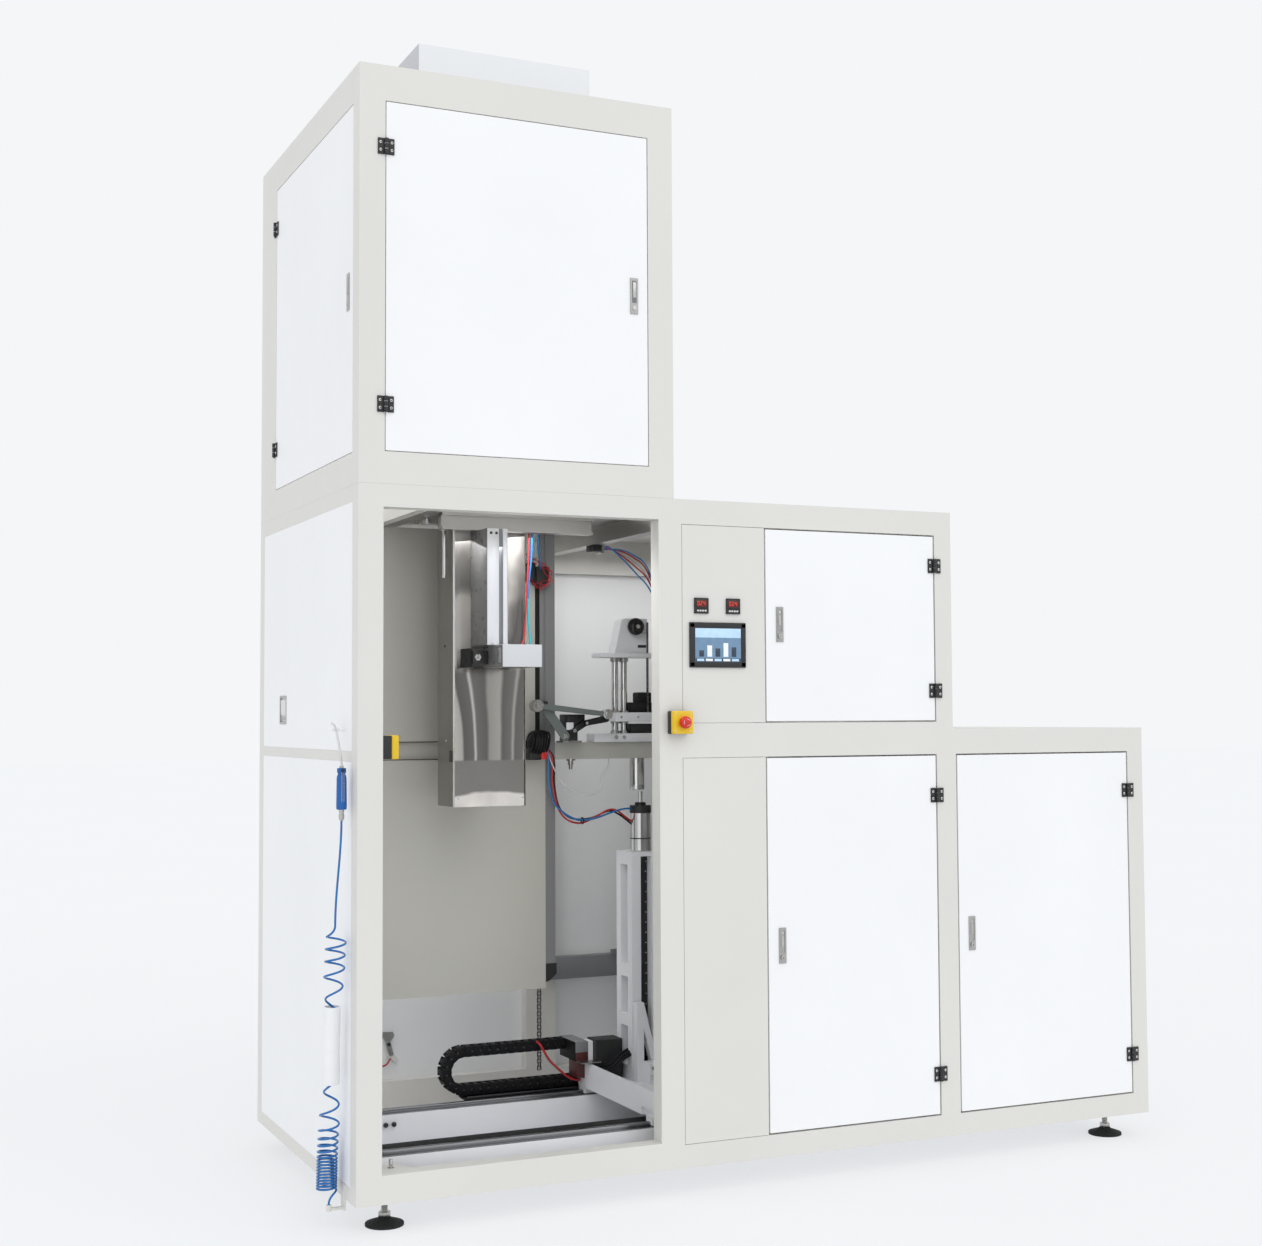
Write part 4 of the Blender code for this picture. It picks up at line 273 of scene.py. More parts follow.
def sheet_painted_reflections():
    """Thin polished sheet with painted reflections in its colour: a bright painted reflection band
    at the bottom, brown-grey low down, arched light and dark painted reflection bands, cloudy at
    the top.

    The sheet isn't flat, so the painted reflection bands bow outwards with height. Places are in
    the row frame.
    """
    made, tree, shader = nodes_for("sheet_painted_reflections")

    def maths(kind, a, b=0.0, clamp=False):
        node = tree.nodes.new("ShaderNodeMath")
        node.operation = kind
        node.use_clamp = clamp
        for socket, value in zip(node.inputs, (a, b)):
            if isinstance(value, float):
                socket.default_value = value
            else:
                tree.links.new(value, socket)
        return node.outputs[0]

    def bands(value, stops):
        node = tree.nodes.new("ShaderNodeValToRGB")
        ramp = node.color_ramp
        ramp.elements[0].position, ramp.elements[1].position = stops[0][0], stops[-1][0]
        for place, _ in stops[1:-1]:
            ramp.elements.new(place)
        for element, (_, tone) in zip(ramp.elements, stops):
            element.color = (tone, tone * 0.95, tone * 0.89, 1)
        tree.links.new(value, node.inputs["Fac"])
        return node.outputs["Color"]

    def mixed(share, low, high):
        node = tree.nodes.new("ShaderNodeMix")
        node.data_type = "RGBA"
        tree.links.new(share, node.inputs[0])
        tree.links.new(low, node.inputs[6])
        tree.links.new(high, node.inputs[7])
        return node.outputs[2]

    place = tree.nodes.new("ShaderNodeTexCoord")
    parts = tree.nodes.new("ShaderNodeSeparateXYZ")
    tree.links.new(place.outputs["Object"], parts.inputs[0])
    wander = maths("MULTIPLY", maths("SUBTRACT", noise(tree, 7.0, 2.0), 0.5), 0.05)
    height = maths("ADD", parts.outputs["Z"], wander)
    across = maths("DIVIDE", maths("SUBTRACT", parts.outputs["X"], -1.0025), 0.252)
    rise = maths("DIVIDE", maths("SUBTRACT", parts.outputs["Z"], 1.355), 0.28, True)
    spread_out = maths("ADD", maths("MULTIPLY", maths("MULTIPLY", rise, rise), 0.32), 1.0)
    bowed = maths("ADD", maths("DIVIDE", maths("SUBTRACT", across, 0.57), spread_out), 0.57)
    bowed = maths("ADD", bowed, wander)
    # Arched light and dark bands: painted reflections
    painted_reflection_arches = bands(bowed, ((0.0, 0.50), (0.12, 0.40), (0.15, 0.12), (0.27, 0.15), (0.295, 0.52),
                           (0.325, 0.16), (0.45, 0.13), (0.49, 0.30), (0.62, 0.36), (0.66, 0.13),
                           (0.77, 0.17), (0.80, 0.36), (0.83, 0.14), (0.94, 0.16), (0.98, 0.60)))
    plain = bands(noise(tree, 5.0, 2.0, 0.4), ((0.3, 0.185), (0.7, 0.225)))
    bright = bands(noise(tree, 11.0, 2.0), ((0.3, 0.62), (0.7, 0.80)))
    cloudy = bands(noise(tree, 5.5, 1.5, 0.4, (1.6, 1, 1)),
                   ((0.36, 0.10), (0.44, 0.17), (0.50, 0.32), (0.62, 0.38)))
    lower = mixed(maths("DIVIDE", maths("SUBTRACT", height, 1.245), 0.010, True), bright, plain)
    middle = mixed(maths("DIVIDE", maths("SUBTRACT", parts.outputs["Z"], 1.353), 0.006, True),
                   lower, painted_reflection_arches)
    whole = mixed(maths("DIVIDE", maths("SUBTRACT", height, 1.640), 0.030, True), middle, cloudy)
    tree.links.new(whole, shader.inputs["Base Color"])
    tree.links.new(spread(tree, parts.outputs["Z"], 1.0, 0.25, 1.640, 1.690),
                   shader.inputs["Metallic"])
    tree.links.new(spread(tree, noise(tree, 90.0, 3.0), 0.10, 0.20), shader.inputs["Roughness"])
    tree.links.new(bump(tree, noise(tree, 5.0, 1.5), 0.004), shader.inputs["Normal"])
    return made


# The spout front's colour holds painted reflections
PAINTED_REFLECTIONS = sheet_painted_reflections()
SCREEN_GLASS = glowing("screen_page", (0.10, 0.16, 0.24), (0.16, 0.30, 0.46), 0.5)
SCREEN_SKY = glowing("screen_header", (0.30, 0.42, 0.55), (0.42, 0.60, 0.78), 0.7)
SCREEN_PALE = glowing("screen_pale", (0.55, 0.58, 0.60), (0.70, 0.74, 0.78), 0.6)
SCREEN_DARK = glowing("screen_dark", (0.02, 0.03, 0.05), (0.03, 0.05, 0.08), 0.5)
DIGITS = glowing("digits", (0.40, 0.02, 0.01), (0.90, 0.05, 0.02), 1.2)
DIGIT_FIELD = glowing("digit_field", (0.05, 0.008, 0.006), (0.10, 0.008, 0.006), 0.4)


# Shapes: every piece is gathered from rounded parts into one mesh

class Shape:
    def __init__(self):
        self.points = []
        self.faces = []
        self.slots = []
        self.finishes = []

    def index(self, finish):
        if finish not in self.finishes:
            self.finishes.append(finish)
        return self.finishes.index(finish)

    def take(self, points, faces, finish, turn=None, place=(0, 0, 0)):
        base = len(self.points)
        at = Vector(place)
        for point in points:
            spot = Vector(point)
            self.points.append((turn @ spot if turn else spot) + at)
        slot = self.index(finish)
        for face in faces:
            self.faces.append([base + i for i in face])
            self.slots.append(slot)
        return self

    def add(self, other, turn, place):
        """Take another shape with its finishes, turned and moved."""
        base = len(self.points)
        self.points += [turn @ point + place for point in other.points]
        for face, slot in zip(other.faces, other.slots):
            self.faces.append([base + i for i in face])
            self.slots.append(self.index(other.finishes[slot]))

    def rounded(self, shape, finish, width, steps=1, turn=None, place=(0, 0, 0)):
        """Round a solid's edges and take its faces."""
        bmesh.ops.bevel(shape, geom=list(shape.edges), offset=width, segments=steps,
                        affect="EDGES", profile=0.5)
        shape.verts.index_update()
        points = [vert.co.copy() for vert in shape.verts]
        faces = [[vert.index for vert in face.verts] for face in shape.faces]
        shape.free()
        return self.take(points, faces, finish, turn, place)

    def box(self, x, y, z, finish, bevel=0.001, steps=2, turn=None, lean=None):
        """A box between limits with rounded edges. turn swings it about its own centre."""
        size = Vector((x[1] - x[0], y[1] - y[0], z[1] - z[0]))
        centre = Vector((x[0] + x[1], y[0] + y[1], z[0] + z[1])) / 2
        shape = bmesh.new()
        bmesh.ops.create_cube(shape, size=1.0)
        bmesh.ops.scale(shape, vec=size, verts=shape.verts)
        if lean:
            for vert in shape.verts:
                vert.co += Vector(lean) * (vert.co.z / size.z)
        width = min(bevel, min(size) * 0.45)
        return self.rounded(shape, finish, width, steps, turn, centre)

    def lathe(self, profile, start, along, finish, sides=24):
        """Turn (distance along the axis, radius) pairs about an axis."""
        axis = Vector(along).normalized()
        turn = axis.to_track_quat("Z", "Y").to_matrix()
        points, faces, rings = [], [], []
        for height, radius in profile:
            if radius < 1e-7:
                rings.append([len(points)])
                points.append((0, 0, height))
                continue
            ring = []
            for k in range(sides):
                angle = 2 * math.pi * k / sides
                ring.append(len(points))
                points.append((radius * math.cos(angle), radius * math.sin(angle), height))
            rings.append(ring)
        for low, high in zip(rings, rings[1:]):
            for k in range(sides):
                n = (k + 1) % sides
                if len(low) == 1 and len(high) == 1:
                    continue
                if len(low) == 1:
                    faces.append([low[0], high[n], high[k]])
                elif len(high) == 1:
                    faces.append([low[k], low[n], high[0]])
                else:
                    faces.append([low[k], low[n], high[n], high[k]])
        return self.take(points, faces, finish, turn, start)

    def rod(self, start, end, radius, finish, sides=20, bevel=0.0008, far=None):
        """A round bar between two points, with rounded ends."""
        a, b = Vector(start), Vector(end)
        length = (b - a).length
        top = radius if far is None else far
        edge = min(bevel, radius * 0.4, top * 0.4, length * 0.4)
        profile = [(0, 0), (0, radius - edge), (edge * 0.3, radius - edge * 0.3), (edge, radius),
                   (length - edge, top), (length - edge * 0.3, top - edge * 0.3),
                   (length, top - edge), (length, 0)]
        return self.lathe(profile, a, b - a, finish, sides)

    def tube(self, points, radius, finish, sides=10, closed=False):
        """A tube swept along points, with capped ends."""
        route = [Vector(point) for point in points]
        count = len(route)
        ahead = []
        for k in range(count):
            if closed:
                ahead.append((route[(k + 1) % count] - route[k - 1]).normalized())
            else:
                ahead.append((route[min(k + 1, count - 1)] - route[max(k - 1, 0)]).normalized())
        side = ahead[0].orthogonal().normalized()
        verts, faces = [], []
        for k in range(count):
            side = (side - ahead[k] * side.dot(ahead[k])).normalized()
            other = ahead[k].cross(side)
            size = radius[k] if isinstance(radius, (list, tuple)) else radius
            for s in range(sides):
                angle = 2 * math.pi * s / sides
                verts.append(route[k] + side * math.cos(angle) * size
                             + other * math.sin(angle) * size)
        for k in range(count if closed else count - 1):
            n = (k + 1) % count
            for s in range(sides):
                t = (s + 1) % sides
                faces.append([k * sides + s, k * sides + t, n * sides + t, n * sides + s])
        if not closed:
            faces.append(list(range(sides - 1, -1, -1)))
            faces.append([(count - 1) * sides + s for s in range(sides)])
        return self.take(verts, faces, finish)

    def plate(self, outline, start, end, axis, finish, bevel=0.0006):
        """An outline in the plane across an axis, drawn from start to end along it."""
        shape = bmesh.new()
        order = {"X": lambda a, b, c: (c, a, b), "Y": lambda a, b, c: (a, c, b),
                 "Z": lambda a, b, c: (a, b, c)}[axis]
        low = [shape.verts.new(order(a, b, start)) for a, b in outline]
        high = [shape.verts.new(order(a, b, end)) for a, b in outline]
        shape.faces.new(low)
        shape.faces.new(list(reversed(high)))
        count = len(outline)
        for k in range(count):
            n = (k + 1) % count
            shape.faces.new([low[k], high[k], high[n], low[n]])
        bmesh.ops.recalc_face_normals(shape, faces=shape.faces)
        return self.rounded(shape, finish, bevel)

    def shell(self, rings, finish_of):
        """Walls between rings of equal count, anticlockwise from above. finish_of(normal)."""
        base, count = len(self.points), len(rings[0])
        for ring in rings:
            self.points += [Vector(point) for point in ring]
        for level, (low, high) in enumerate(zip(rings, rings[1:])):
            for k in range(count):
                n = (k + 1) % count
                normal = (Vector(low[n]) - Vector(low[k])).cross(Vector(high[k]) - Vector(low[k]))
                self.slots.append(self.index(finish_of(normal.normalized())))
                here = base + level * count
                self.faces.append([here + k, here + n, here + count + n, here + count + k])
        return self

    def line(self, points, radius, finish, count=28, sides=8):
        """A tube or wire along a smooth route."""
        return self.tube(smooth_route(points, count), radius, finish, sides)

    def screw(self, place, out, radius=0.004, finish=None, height=0.0022):
        """A button-head screw with a hexagon socket."""
        at, axis = Vector(place), Vector(out).normalized()
        head = finish or SCREW
        self.lathe([(-0.0004, 0), (-0.0004, radius), (height * 0.35, radius),
                    (height * 0.8, radius * 0.82), (height, radius * 0.62),
                    (height, radius * 0.46)], at, axis, head, 16)
        # The socket's inside is black: painted shade in the recess
        self.lathe([(height, radius * 0.46), (height * 0.35, radius * 0.44), (height * 0.3, 0)],
                   at, axis, BLACK, 6)
        return self

    def bolt(self, place, out, radius=0.006, finish=None):
        """A hexagon head on a washer."""
        at, axis = Vector(place), Vector(out).normalized()
        head = finish or SCREW
        self.lathe([(0, 0), (0, radius * 1.35), (0.0012, radius * 1.35), (0.0014, radius * 0.9)],
                   at, axis, head, 20)
        self.lathe([(0.0012, radius), (radius * 0.72, radius), (radius * 0.85, radius * 0.86),
                    (radius * 0.85, 0)], at, axis, head, 6)
        return self

    def done(self, name, body="cabinet", replaced=(), ride=True, sharp=32):
        """Make the mesh object, and say what it rides on, replaces and is made of."""
        mesh = bpy.data.meshes.new(name)
        mesh.from_pydata([tuple(point + SHIFT) for point in self.points], [], self.faces)
        for finish in self.finishes:
            mesh.materials.append(finish)
        mesh.polygons.foreach_set("material_index", self.slots)
        mesh.shade_smooth()
        mesh.set_sharp_from_angle(angle=math.radians(sharp))
        mesh.update()
        made = bpy.data.objects.new(name, mesh)
        bpy.context.scene.collection.objects.link(made)
        if ride:
            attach(made, body)
        if replaced:
            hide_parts(*replaced)
        return made


def smooth_route(points, count):
    """Points along a Catmull-Rom curve through a route, evenly counted in each span."""
    route = [Vector(point) for point in points]
    ends = [route[0] * 2 - route[1], *route, route[-1] * 2 - route[-2]]
    spans = len(route) - 1
    made = []
    for index in range(count + 1):
        place = index / count * spans
        span = min(int(place), spans - 1)
        t = place - span
        a, b, c, d = ends[span:span + 4]
        made.append(((b * 2) + (c - a) * t + (a * 2 - b * 5 + c * 4 - d) * t * t
                     + (b * 3 - a - c * 3 + d) * t * t * t) / 2)
    return made


def ease(t):
    t = min(1.0, max(0.0, t))
    return t * t * (3 - 2 * t)


# The blow gun's hose: from its fitting at the bottom, round the coil, up to the gun

HOSE = 0.0065
GUN_TOP = Vector((-0.030, 0.062, 1.262))
HOSE_TOP = Vector((-0.030, 0.062, 1.1085))
# Heights that the hose's end passes inside the gun
INSIDE_GUN = (1.145, 1.180, 1.215, 1.255)
COIL_TOP = Vector((-0.045, 0.092, 0.7680))
TAIL_LOW = Vector((-0.045, 0.130, -0.0150))
SLEEVE_TOP = COIL_TOP.lerp(TAIL_LOW, 0.260)
SLEEVE_LOW = COIL_TOP.lerp(TAIL_LOW, 0.550)
FITTING_TOP = Vector((-0.045, 0.130, -0.0159))
LOOSE, SLEEVED = 0.0285, 0.0185
# The bend that the coil's ends are eased with
TIGHTEST = 0.0290
# Height, then the coil's axis in x and y, its radius and its pitch
COIL = [(-0.0160, -0.045, 0.1585, LOOSE, 0.0082), (0.105, -0.045, 0.152, LOOSE, 0.0095),
        (0.140, -0.045, 0.148, LOOSE, 0.018), (0.175, -0.045, 0.140, LOOSE, 0.022),
        (0.245, -0.045, 0.124, LOOSE, 0.060), (0.3353, -0.045, 0.1125, SLEEVED, 0.090),
        (0.5664, -0.045, 0.1020, SLEEVED, 0.090), (0.645, -0.042, 0.0950, LOOSE, 0.056),
        (0.700, -0.040, 0.0910, LOOSE, 0.036), (0.790, -0.036, 0.0880, LOOSE, 0.0366)]


def coil_at(height):
    """The coil's axis, radius and pitch at a height."""
    for low, high in zip(COIL, COIL[1:]):
        if height <= high[0] or high is COIL[-1]:
            share = ease((height - low[0]) / (high[0] - low[0]))
            return [a + (b - a) * share for a, b in zip(low[1:], high[1:])]


def coil_route(top=0.768):
    """The coil's centreline, from straight up out of its fitting to straight up at its top.

    The slope against the level falls and rises no faster than the tightest bend allows.
    """
    height, angle, slope = FITTING_TOP.z + 0.004, -math.pi / 2, math.pi / 2
    made, rising = [], False
    while not rising or slope < math.pi / 2 - 1e-6:
        x, y, radius, pitch = coil_at(height)
        made.append(Vector((x + radius * math.cos(angle), y + radius * math.sin(angle), height)))
        bent = math.cos(slope) ** 2 / radius
        room = math.sqrt(max(1 / TIGHTEST ** 2 - bent ** 2, 25.0))
        want = math.pi / 2 if rising else math.atan2(pitch, 2 * math.pi * radius)
        step = 0.003 if rising or slope > want + 1e-9 else 0.0085
        slope = min(want, slope + room * step) if rising else max(want, slope - room * step)
        if not rising and height > 0.2:
            slope = want
        height += math.sin(slope) * step
        angle += math.cos(slope) * step / radius
        rising = rising or height > top
    return made


def hose():
    """The hose as one curve, and its length: fitting, coil, eased upper stretch, gun."""
    turns = coil_route()
    last = turns[-1]
    upper = []
    for k in range(13):
        x, y = last.lerp(HOSE_TOP, ease(k / 12)).to_2d()
        upper.append(Vector((x, y, last.z + (HOSE_TOP.z - last.z) * k / 12)))
    route = [FITTING_TOP] + turns + smooth_route(upper, 60)[1:]
    kept = [route[0]]
    for point in route[1:]:
        if (point - kept[-1]).length > 0.0012:
            kept.append(point)
    kept[-1] = HOSE_TOP
    for height in INSIDE_GUN:
        kept.append(Vector((GUN_TOP.x, GUN_TOP.y, height)))
    data = bpy.data.curves.new("air_hose_run", "CURVE")
    data.dimensions = "3D"
    data.bevel_depth = HOSE / 2
    data.bevel_resolution = 3
    data.use_fill_caps = True
    spline = data.splines.new("POLY")
    spline.points.add(len(kept) - 1)
    for place, point in zip(spline.points, kept):
        place.co = (*row(point), 1.0)
    data.materials.append(HOSE_BLUE)
    made = bpy.data.objects.new("air_hose_run", data)
    bpy.context.scene.collection.objects.link(made)
    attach(made, "cabinet")
    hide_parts("air_hose", "hose_coil_upper", "hose_coil_lower")
    length = sum((b - a).length for a, b in zip(kept, kept[1:]))
    return made, length


def hose_sleeve():
    """Soft vinyl sleeve round the middle of the coil, with pressed rings and a tied top."""
    axis = SLEEVE_LOW - SLEEVE_TOP
    length = axis.length
    shape = Shape()
    profile = [(0.0005, 0.0215), (0.0005, 0.0245), (0.0035, 0.0256)]
    for k in range(1, 24):
        t = k / 24
        swell = 0.0249 + 0.0007 * math.sin(t * 9.0) - 0.0005 * math.cos(t * 31.0)
        profile.append((0.0035 + (length - 0.007) * t, min(0.0256, swell)))
    profile += [(length - 0.0035, 0.0256), (length - 0.0005, 0.0245), (length - 0.0005, 0.0215),
                (length - 0.006, 0.0212), (length / 2, 0.0214), (0.006, 0.0212),
                (0.0005, 0.0215)]
    shape.lathe(profile, SLEEVE_TOP, axis, SLEEVE_WHITE, 28)
    return shape.done("vinyl_sleeve", replaced=("hose_sleeve",))


def blow_gun():
    """Blow gun: tapered body, knurled collar, wire lever and brass connector."""
    x, y = GUN_TOP.x, GUN_TOP.y
    shape = Shape()
    shape.lathe([(0, 0), (0, 0.0118), (0.0012, 0.0126), (0.014, 0.0128), (0.0155, 0.0112),
                 (0.020, 0.0112), (0.0215, 0.0134), (0.030, 0.0146), (0.060, 0.0150),
                 (0.092, 0.0154), (0.110, 0.0157), (0.118, 0.0155), (0.1212, 0.0142),
                 (0.1218, 0.010), (0.1218, 0)],
                GUN_TOP, DOWN, BLUE, 28)
    for k in range(12):
        angle = 2 * math.pi * k / 12
        cx, cy = x + 0.0126 * math.cos(angle), y + 0.0126 * math.sin(angle)
        shape.rod((cx, cy, 1.2605), (cx, cy, 1.2495), 0.0011, BLUE, 6, 0.0003)
    shape.lathe([(0, 0.0068), (0, 0.0080), (0.006, 0.0083), (0.0065, 0.0072), (0.014, 0.0072),
                 (0.0145, 0.0084), (0.026, 0.0084), (0.0268, 0.0066), (0.0312, 0.0062),
                 (0.0312, 0.0036)],
                (x, y, 1.1400), DOWN, STEEL, 20)
    lever = smooth_route([(x, y - 0.008, 1.2585), (x, y - 0.0135, 1.2480),
                          (x, y - 0.0150, 1.2200), (x, y - 0.0150, 1.1850),
                          (x, y - 0.0142, 1.1600)], 22)
    for side in (-0.0032, 0.0032):
        shape.tube([p + Vector((side, 0, 0)) for p in lever], 0.0009, STEEL, 8)
    shape.tube([lever[-1] + Vector((-0.0032, 0, 0)), lever[-1] + Vector((0, 0, -0.0024)),
                lever[-1] + Vector((0.0032, 0, 0))], 0.0009, STEEL, 8)
    shape.box((x - 0.0045, x + 0.0045), (y - 0.0152, y - 0.010), (1.2500, 1.2600), BLACK, 0.001)
    shape.lathe([(0, 0.0040), (0, 0.0062), (0.0008, 0.0068), (0.0058, 0.0068), (0.0066, 0.0060),
                 (0.0066, 0.0040)], GUN_TOP, UP, STEEL, 6)
    return shape.done("blow_gun", replaced=("air_gun",))


hose_run, HOSE_LENGTH = hose()
sleeve = hose_sleeve()
gun = blow_gun()
tuple(row(FITTING_TOP))


# Finishes for the CAD nodes that stay

def dress(finish, *names):
    for name in names:
        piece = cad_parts[name]
        if not piece.material_slots:
            piece.data.materials.append(finish)
        for spot in piece.material_slots:
            spot.material = finish


dress(BEIGE, "front_frame", "back_frame", "left_frame", "right_frame", "tower_frame", "step_wall",
      "mid_roof", "low_roof", "control_panel", "blank_panel")
# The middle beam takes the darker beige: painted shade
dress(BEIGE_PAINTED_SHADE, "mid_beam")
dress(WHITE, "side_panel_upper", "side_panel_lower", "right_panel", "back_panel_left",
      "back_panel_mid", "back_panel_right", "tower_right_panel", "tower_back_panel",
      "upper_door", "lower_door", "right_door", "tower_front_door", "tower_side_door")
dress(INNER_WHITE, "floor_pan", "carriage_frame", "ladder_tower")
dress(DUCT_WHITE, "roof_duct")
dress(GREY, "inner_panel_lower", "inner_panel_upper")
dress(POST_GREY, "inner_post")
dress(LOCK_STEEL, "upper_door_lock", "lower_door_lock", "right_door_lock")
dress(CEILING_STEEL, "ceiling_plate")
dress(CHROME, "air_nozzle")
dress(BLACK, "touch_screen", "controller_left", "controller_right", "motor_box")


# Hinges: black covers with four screws each, over the leaves and knuckles

HINGE_AXES = {
    "upper_door": (2.0115, (1.492, 1.915)),
    "lower_door": (2.0115, (0.210, 1.140)),
    "right_door": (2.8215, (0.210, 1.140)),
}
KNUCKLE_Y = -0.006
HINGE_HEIGHT = 0.048
LEAF_REACH = 0.0255
LEAF_FACE = -0.0042
KNUCKLE = 0.0064
KNUCKLE_GAP = 0.0003
BRIDGE = 0.009
HINGE_SCREW = 0.0046
HINGE_SCREW_OUT = 0.0170


def door_hinge(door, index, x, z):
    """One hinge's cover in two halves: the frame's stays, the door's swings with its door."""
    low, high = z - HINGE_HEIGHT / 2, z + HINGE_HEIGHT / 2
    third = HINGE_HEIGHT / 3
    outer = ((low, low + third - KNUCKLE_GAP), (high - third + KNUCKLE_GAP, high))
    middle = ((low + third + KNUCKLE_GAP, high - third - KNUCKLE_GAP),)
    for part, side, body, spans in (("frame", 1, "cabinet", outer), ("door", -1, door, middle)):
        edges = sorted((x + side * KNUCKLE, x + side * LEAF_REACH))
        shape = Shape()
        shape.box(edges, (LEAF_FACE, -0.0001), (low - 0.0004, high + 0.0004), BLACK, 0.0012, 3)
        for bottom, top in spans:
            shape.rod((x, KNUCKLE_Y, bottom), (x, KNUCKLE_Y, top), KNUCKLE, BLACK, 24, 0.0006)
            bridge = sorted((x, x + side * BRIDGE))
            shape.box(bridge, (LEAF_FACE, -0.0001), (bottom, top), BLACK, 0.0005)
        for height in (low + 0.0125, high - 0.0125):
            shape.screw((x + side * HINGE_SCREW_OUT, LEAF_FACE, height), FRONT, HINGE_SCREW)
        shape.done(f"{door}_hinge_{part}_{index}", body)


for door, (x, heights) in HINGE_AXES.items():
    for index, height in enumerate(heights):
        door_hinge(door, index, x, height)


def tower_hinge(name, place, across, out):
    """One fixed hinge of a tower door, across the gap between door and frame."""
    at, along, face = Vector(place), Vector(across), Vector(out)
    shape = Shape()
    turn = Matrix((along, -face, UP)).transposed()
    for side in (-1, 1):
        holder = Shape()
        holder.box(sorted((side * KNUCKLE, side * LEAF_REACH)), (LEAF_FACE, 0.0001),
                   (-0.0244, 0.0244), BLACK, 0.0012, 3)
        holder.box(sorted((0.0, side * BRIDGE)), (LEAF_FACE, -0.0002), (-0.024, 0.024), BLACK,
                   0.0005)
        shape.add(holder, turn, at)
        for height in (-0.0115, 0.0115):
            out = along * side * HINGE_SCREW_OUT + face * -LEAF_FACE
            shape.screw(at + out + UP * height, face, HINGE_SCREW)
    for low, high in ((-0.024, -0.0083), (-0.0077, 0.0077), (0.0083, 0.024)):
        start = at + face * 0.0063 + UP * low
        shape.rod(start, start + UP * (high - low), KNUCKLE, BLACK, 24, 0.0006)
    shape.done(name)


for index, height in enumerate((2.337, 3.112)):
    tower_hinge(f"tower_front_hinge_cover_{index}", (0.08125, 0.0, height), (1, 0, 0), FRONT)
    tower_hinge(f"tower_side_hinge_cover_{index}", (0.0, 1.03375, height), (0, 1, 0), LEFT)


# Locks

LOCK_BUTTON = [(0, 0.0078), (0.0018, 0.0078), (0.0026, 0.0070), (0.0026, 0.0050),
               (0.0032, 0.0046), (0.0032, 0)]


def lock_details(name, x, z, body):
    """Folding lever in the lock plate's recess, with its push button below and two screws."""
    shape = Shape()
    shape.box((x - 0.0072, x + 0.0072), (-0.0024, -0.0008), (z - 0.020, z + 0.046), LOCK_STEEL,
              0.0016, 3)
    shape.box((x - 0.0055, x + 0.0055), (-0.0046, -0.0014), (z - 0.004, z + 0.043), STEEL,
              0.0020, 3)
    shape.box((x - 0.0040, x + 0.0040), (-0.0052, -0.0030), (z + 0.030, z + 0.039), LOCK_STEEL,
              0.0008)
    shape.lathe(LOCK_BUTTON, (x, -0.0048, z - 0.0376), FRONT, STEEL, 24)
    # Thin black bar on the button for its key slot: painted shade
    shape.box((x - 0.0007, x + 0.0007), (-0.0086, -0.0078), (z - 0.0406, z - 0.0346), BLACK,
              0.0002)
    return shape.done(name, body)


LOCKS = (("upper_lock_lever", 1.410, 1.706, "upper_door"),
         ("lower_lock_lever", 1.410, 0.670, "lower_door"),
         ("right_lock_lever", 2.146, 0.670, "right_door"))
for lock in LOCKS:
    lock_details(*lock)


def tower_lock():
    """The tower door's lock plate, recess and lever, over the plate in its CAD door."""
    x, z = 0.894, 2.737
    shape = Shape()
    outline = [(x - 0.0134, z - 0.0574), (x + 0.0134, z - 0.0574), (x + 0.0134, z + 0.0574),
               (x - 0.0134, z + 0.0574)]
    shape.plate(outline, -0.0036, -0.0001, "Y", LOCK_STEEL, 0.0008)
    shape.box((x - 0.0080, x + 0.0080), (-0.0042, -0.0030), (z - 0.022, z + 0.049), POST_GREY,
              0.0014, 3)
    shape.box((x - 0.0055, x + 0.0055), (-0.0062, -0.0034), (z - 0.006, z + 0.044), STEEL,
              0.0020, 3)
    shape.lathe(LOCK_BUTTON, (x, -0.0034, z - 0.0376), FRONT, STEEL, 24)
    shape.done("tower_lock_plate")


tower_lock()


def side_handle():
    """Flush handle near the front edge of the tower's side door."""
    y, z = 0.115, 2.690
    shape = Shape()
    shape.box((-0.0030, -0.0001), (y - 0.013, y + 0.013), (z - 0.057, z + 0.057), LOCK_STEEL,
              0.0012, 3)
    shape.box((-0.0056, -0.0020), (y - 0.0060, y + 0.0060), (z - 0.008, z + 0.044), STEEL,
              0.0018, 3)
    shape.lathe([(0, 0.0078), (0.0020, 0.0076), (0.0026, 0.0060), (0.0026, 0)],
                (-0.0028, y, z - 0.036), LEFT, STEEL, 24)
    shape.done("tower_side_handle")


side_handle()


def side_latch():
    """Paddle latch in the upper side panel: a grey frame round a pale recess."""
    y, z = 0.905, 1.437
    shape = Shape()
    for low, high in ((z - 0.0476, z - 0.0400), (z + 0.0400, z + 0.0476)):
        shape.box((-0.0022, 0.0056), (y - 0.0446, y + 0.0446), (low, high), LOCK_STEEL, 0.0012)
    for low, high in ((y - 0.0446, y - 0.0376), (y + 0.0376, y + 0.0446)):
        shape.box((-0.0021, 0.0056), (low, high), (z - 0.0440, z + 0.0440), LOCK_STEEL, 0.0012)
    shape.box((0.0030, 0.0056), (y - 0.0380, y + 0.0380), (z - 0.0405, z + 0.0405), PALE, 0.0008)
    shape.box((-0.0006, 0.0040), (y - 0.0330, y + 0.0330), (z - 0.0180, z + 0.0340), PALE,
              0.0030, 4, lean=(-0.0010, 0, 0))
    shape.box((-0.0010, 0.0036), (y - 0.0280, y + 0.0280), (z - 0.0330, z - 0.0240), LOCK_STEEL,
              0.0014)
    shape.done("side_panel_latch")


side_latch()


# Control devices

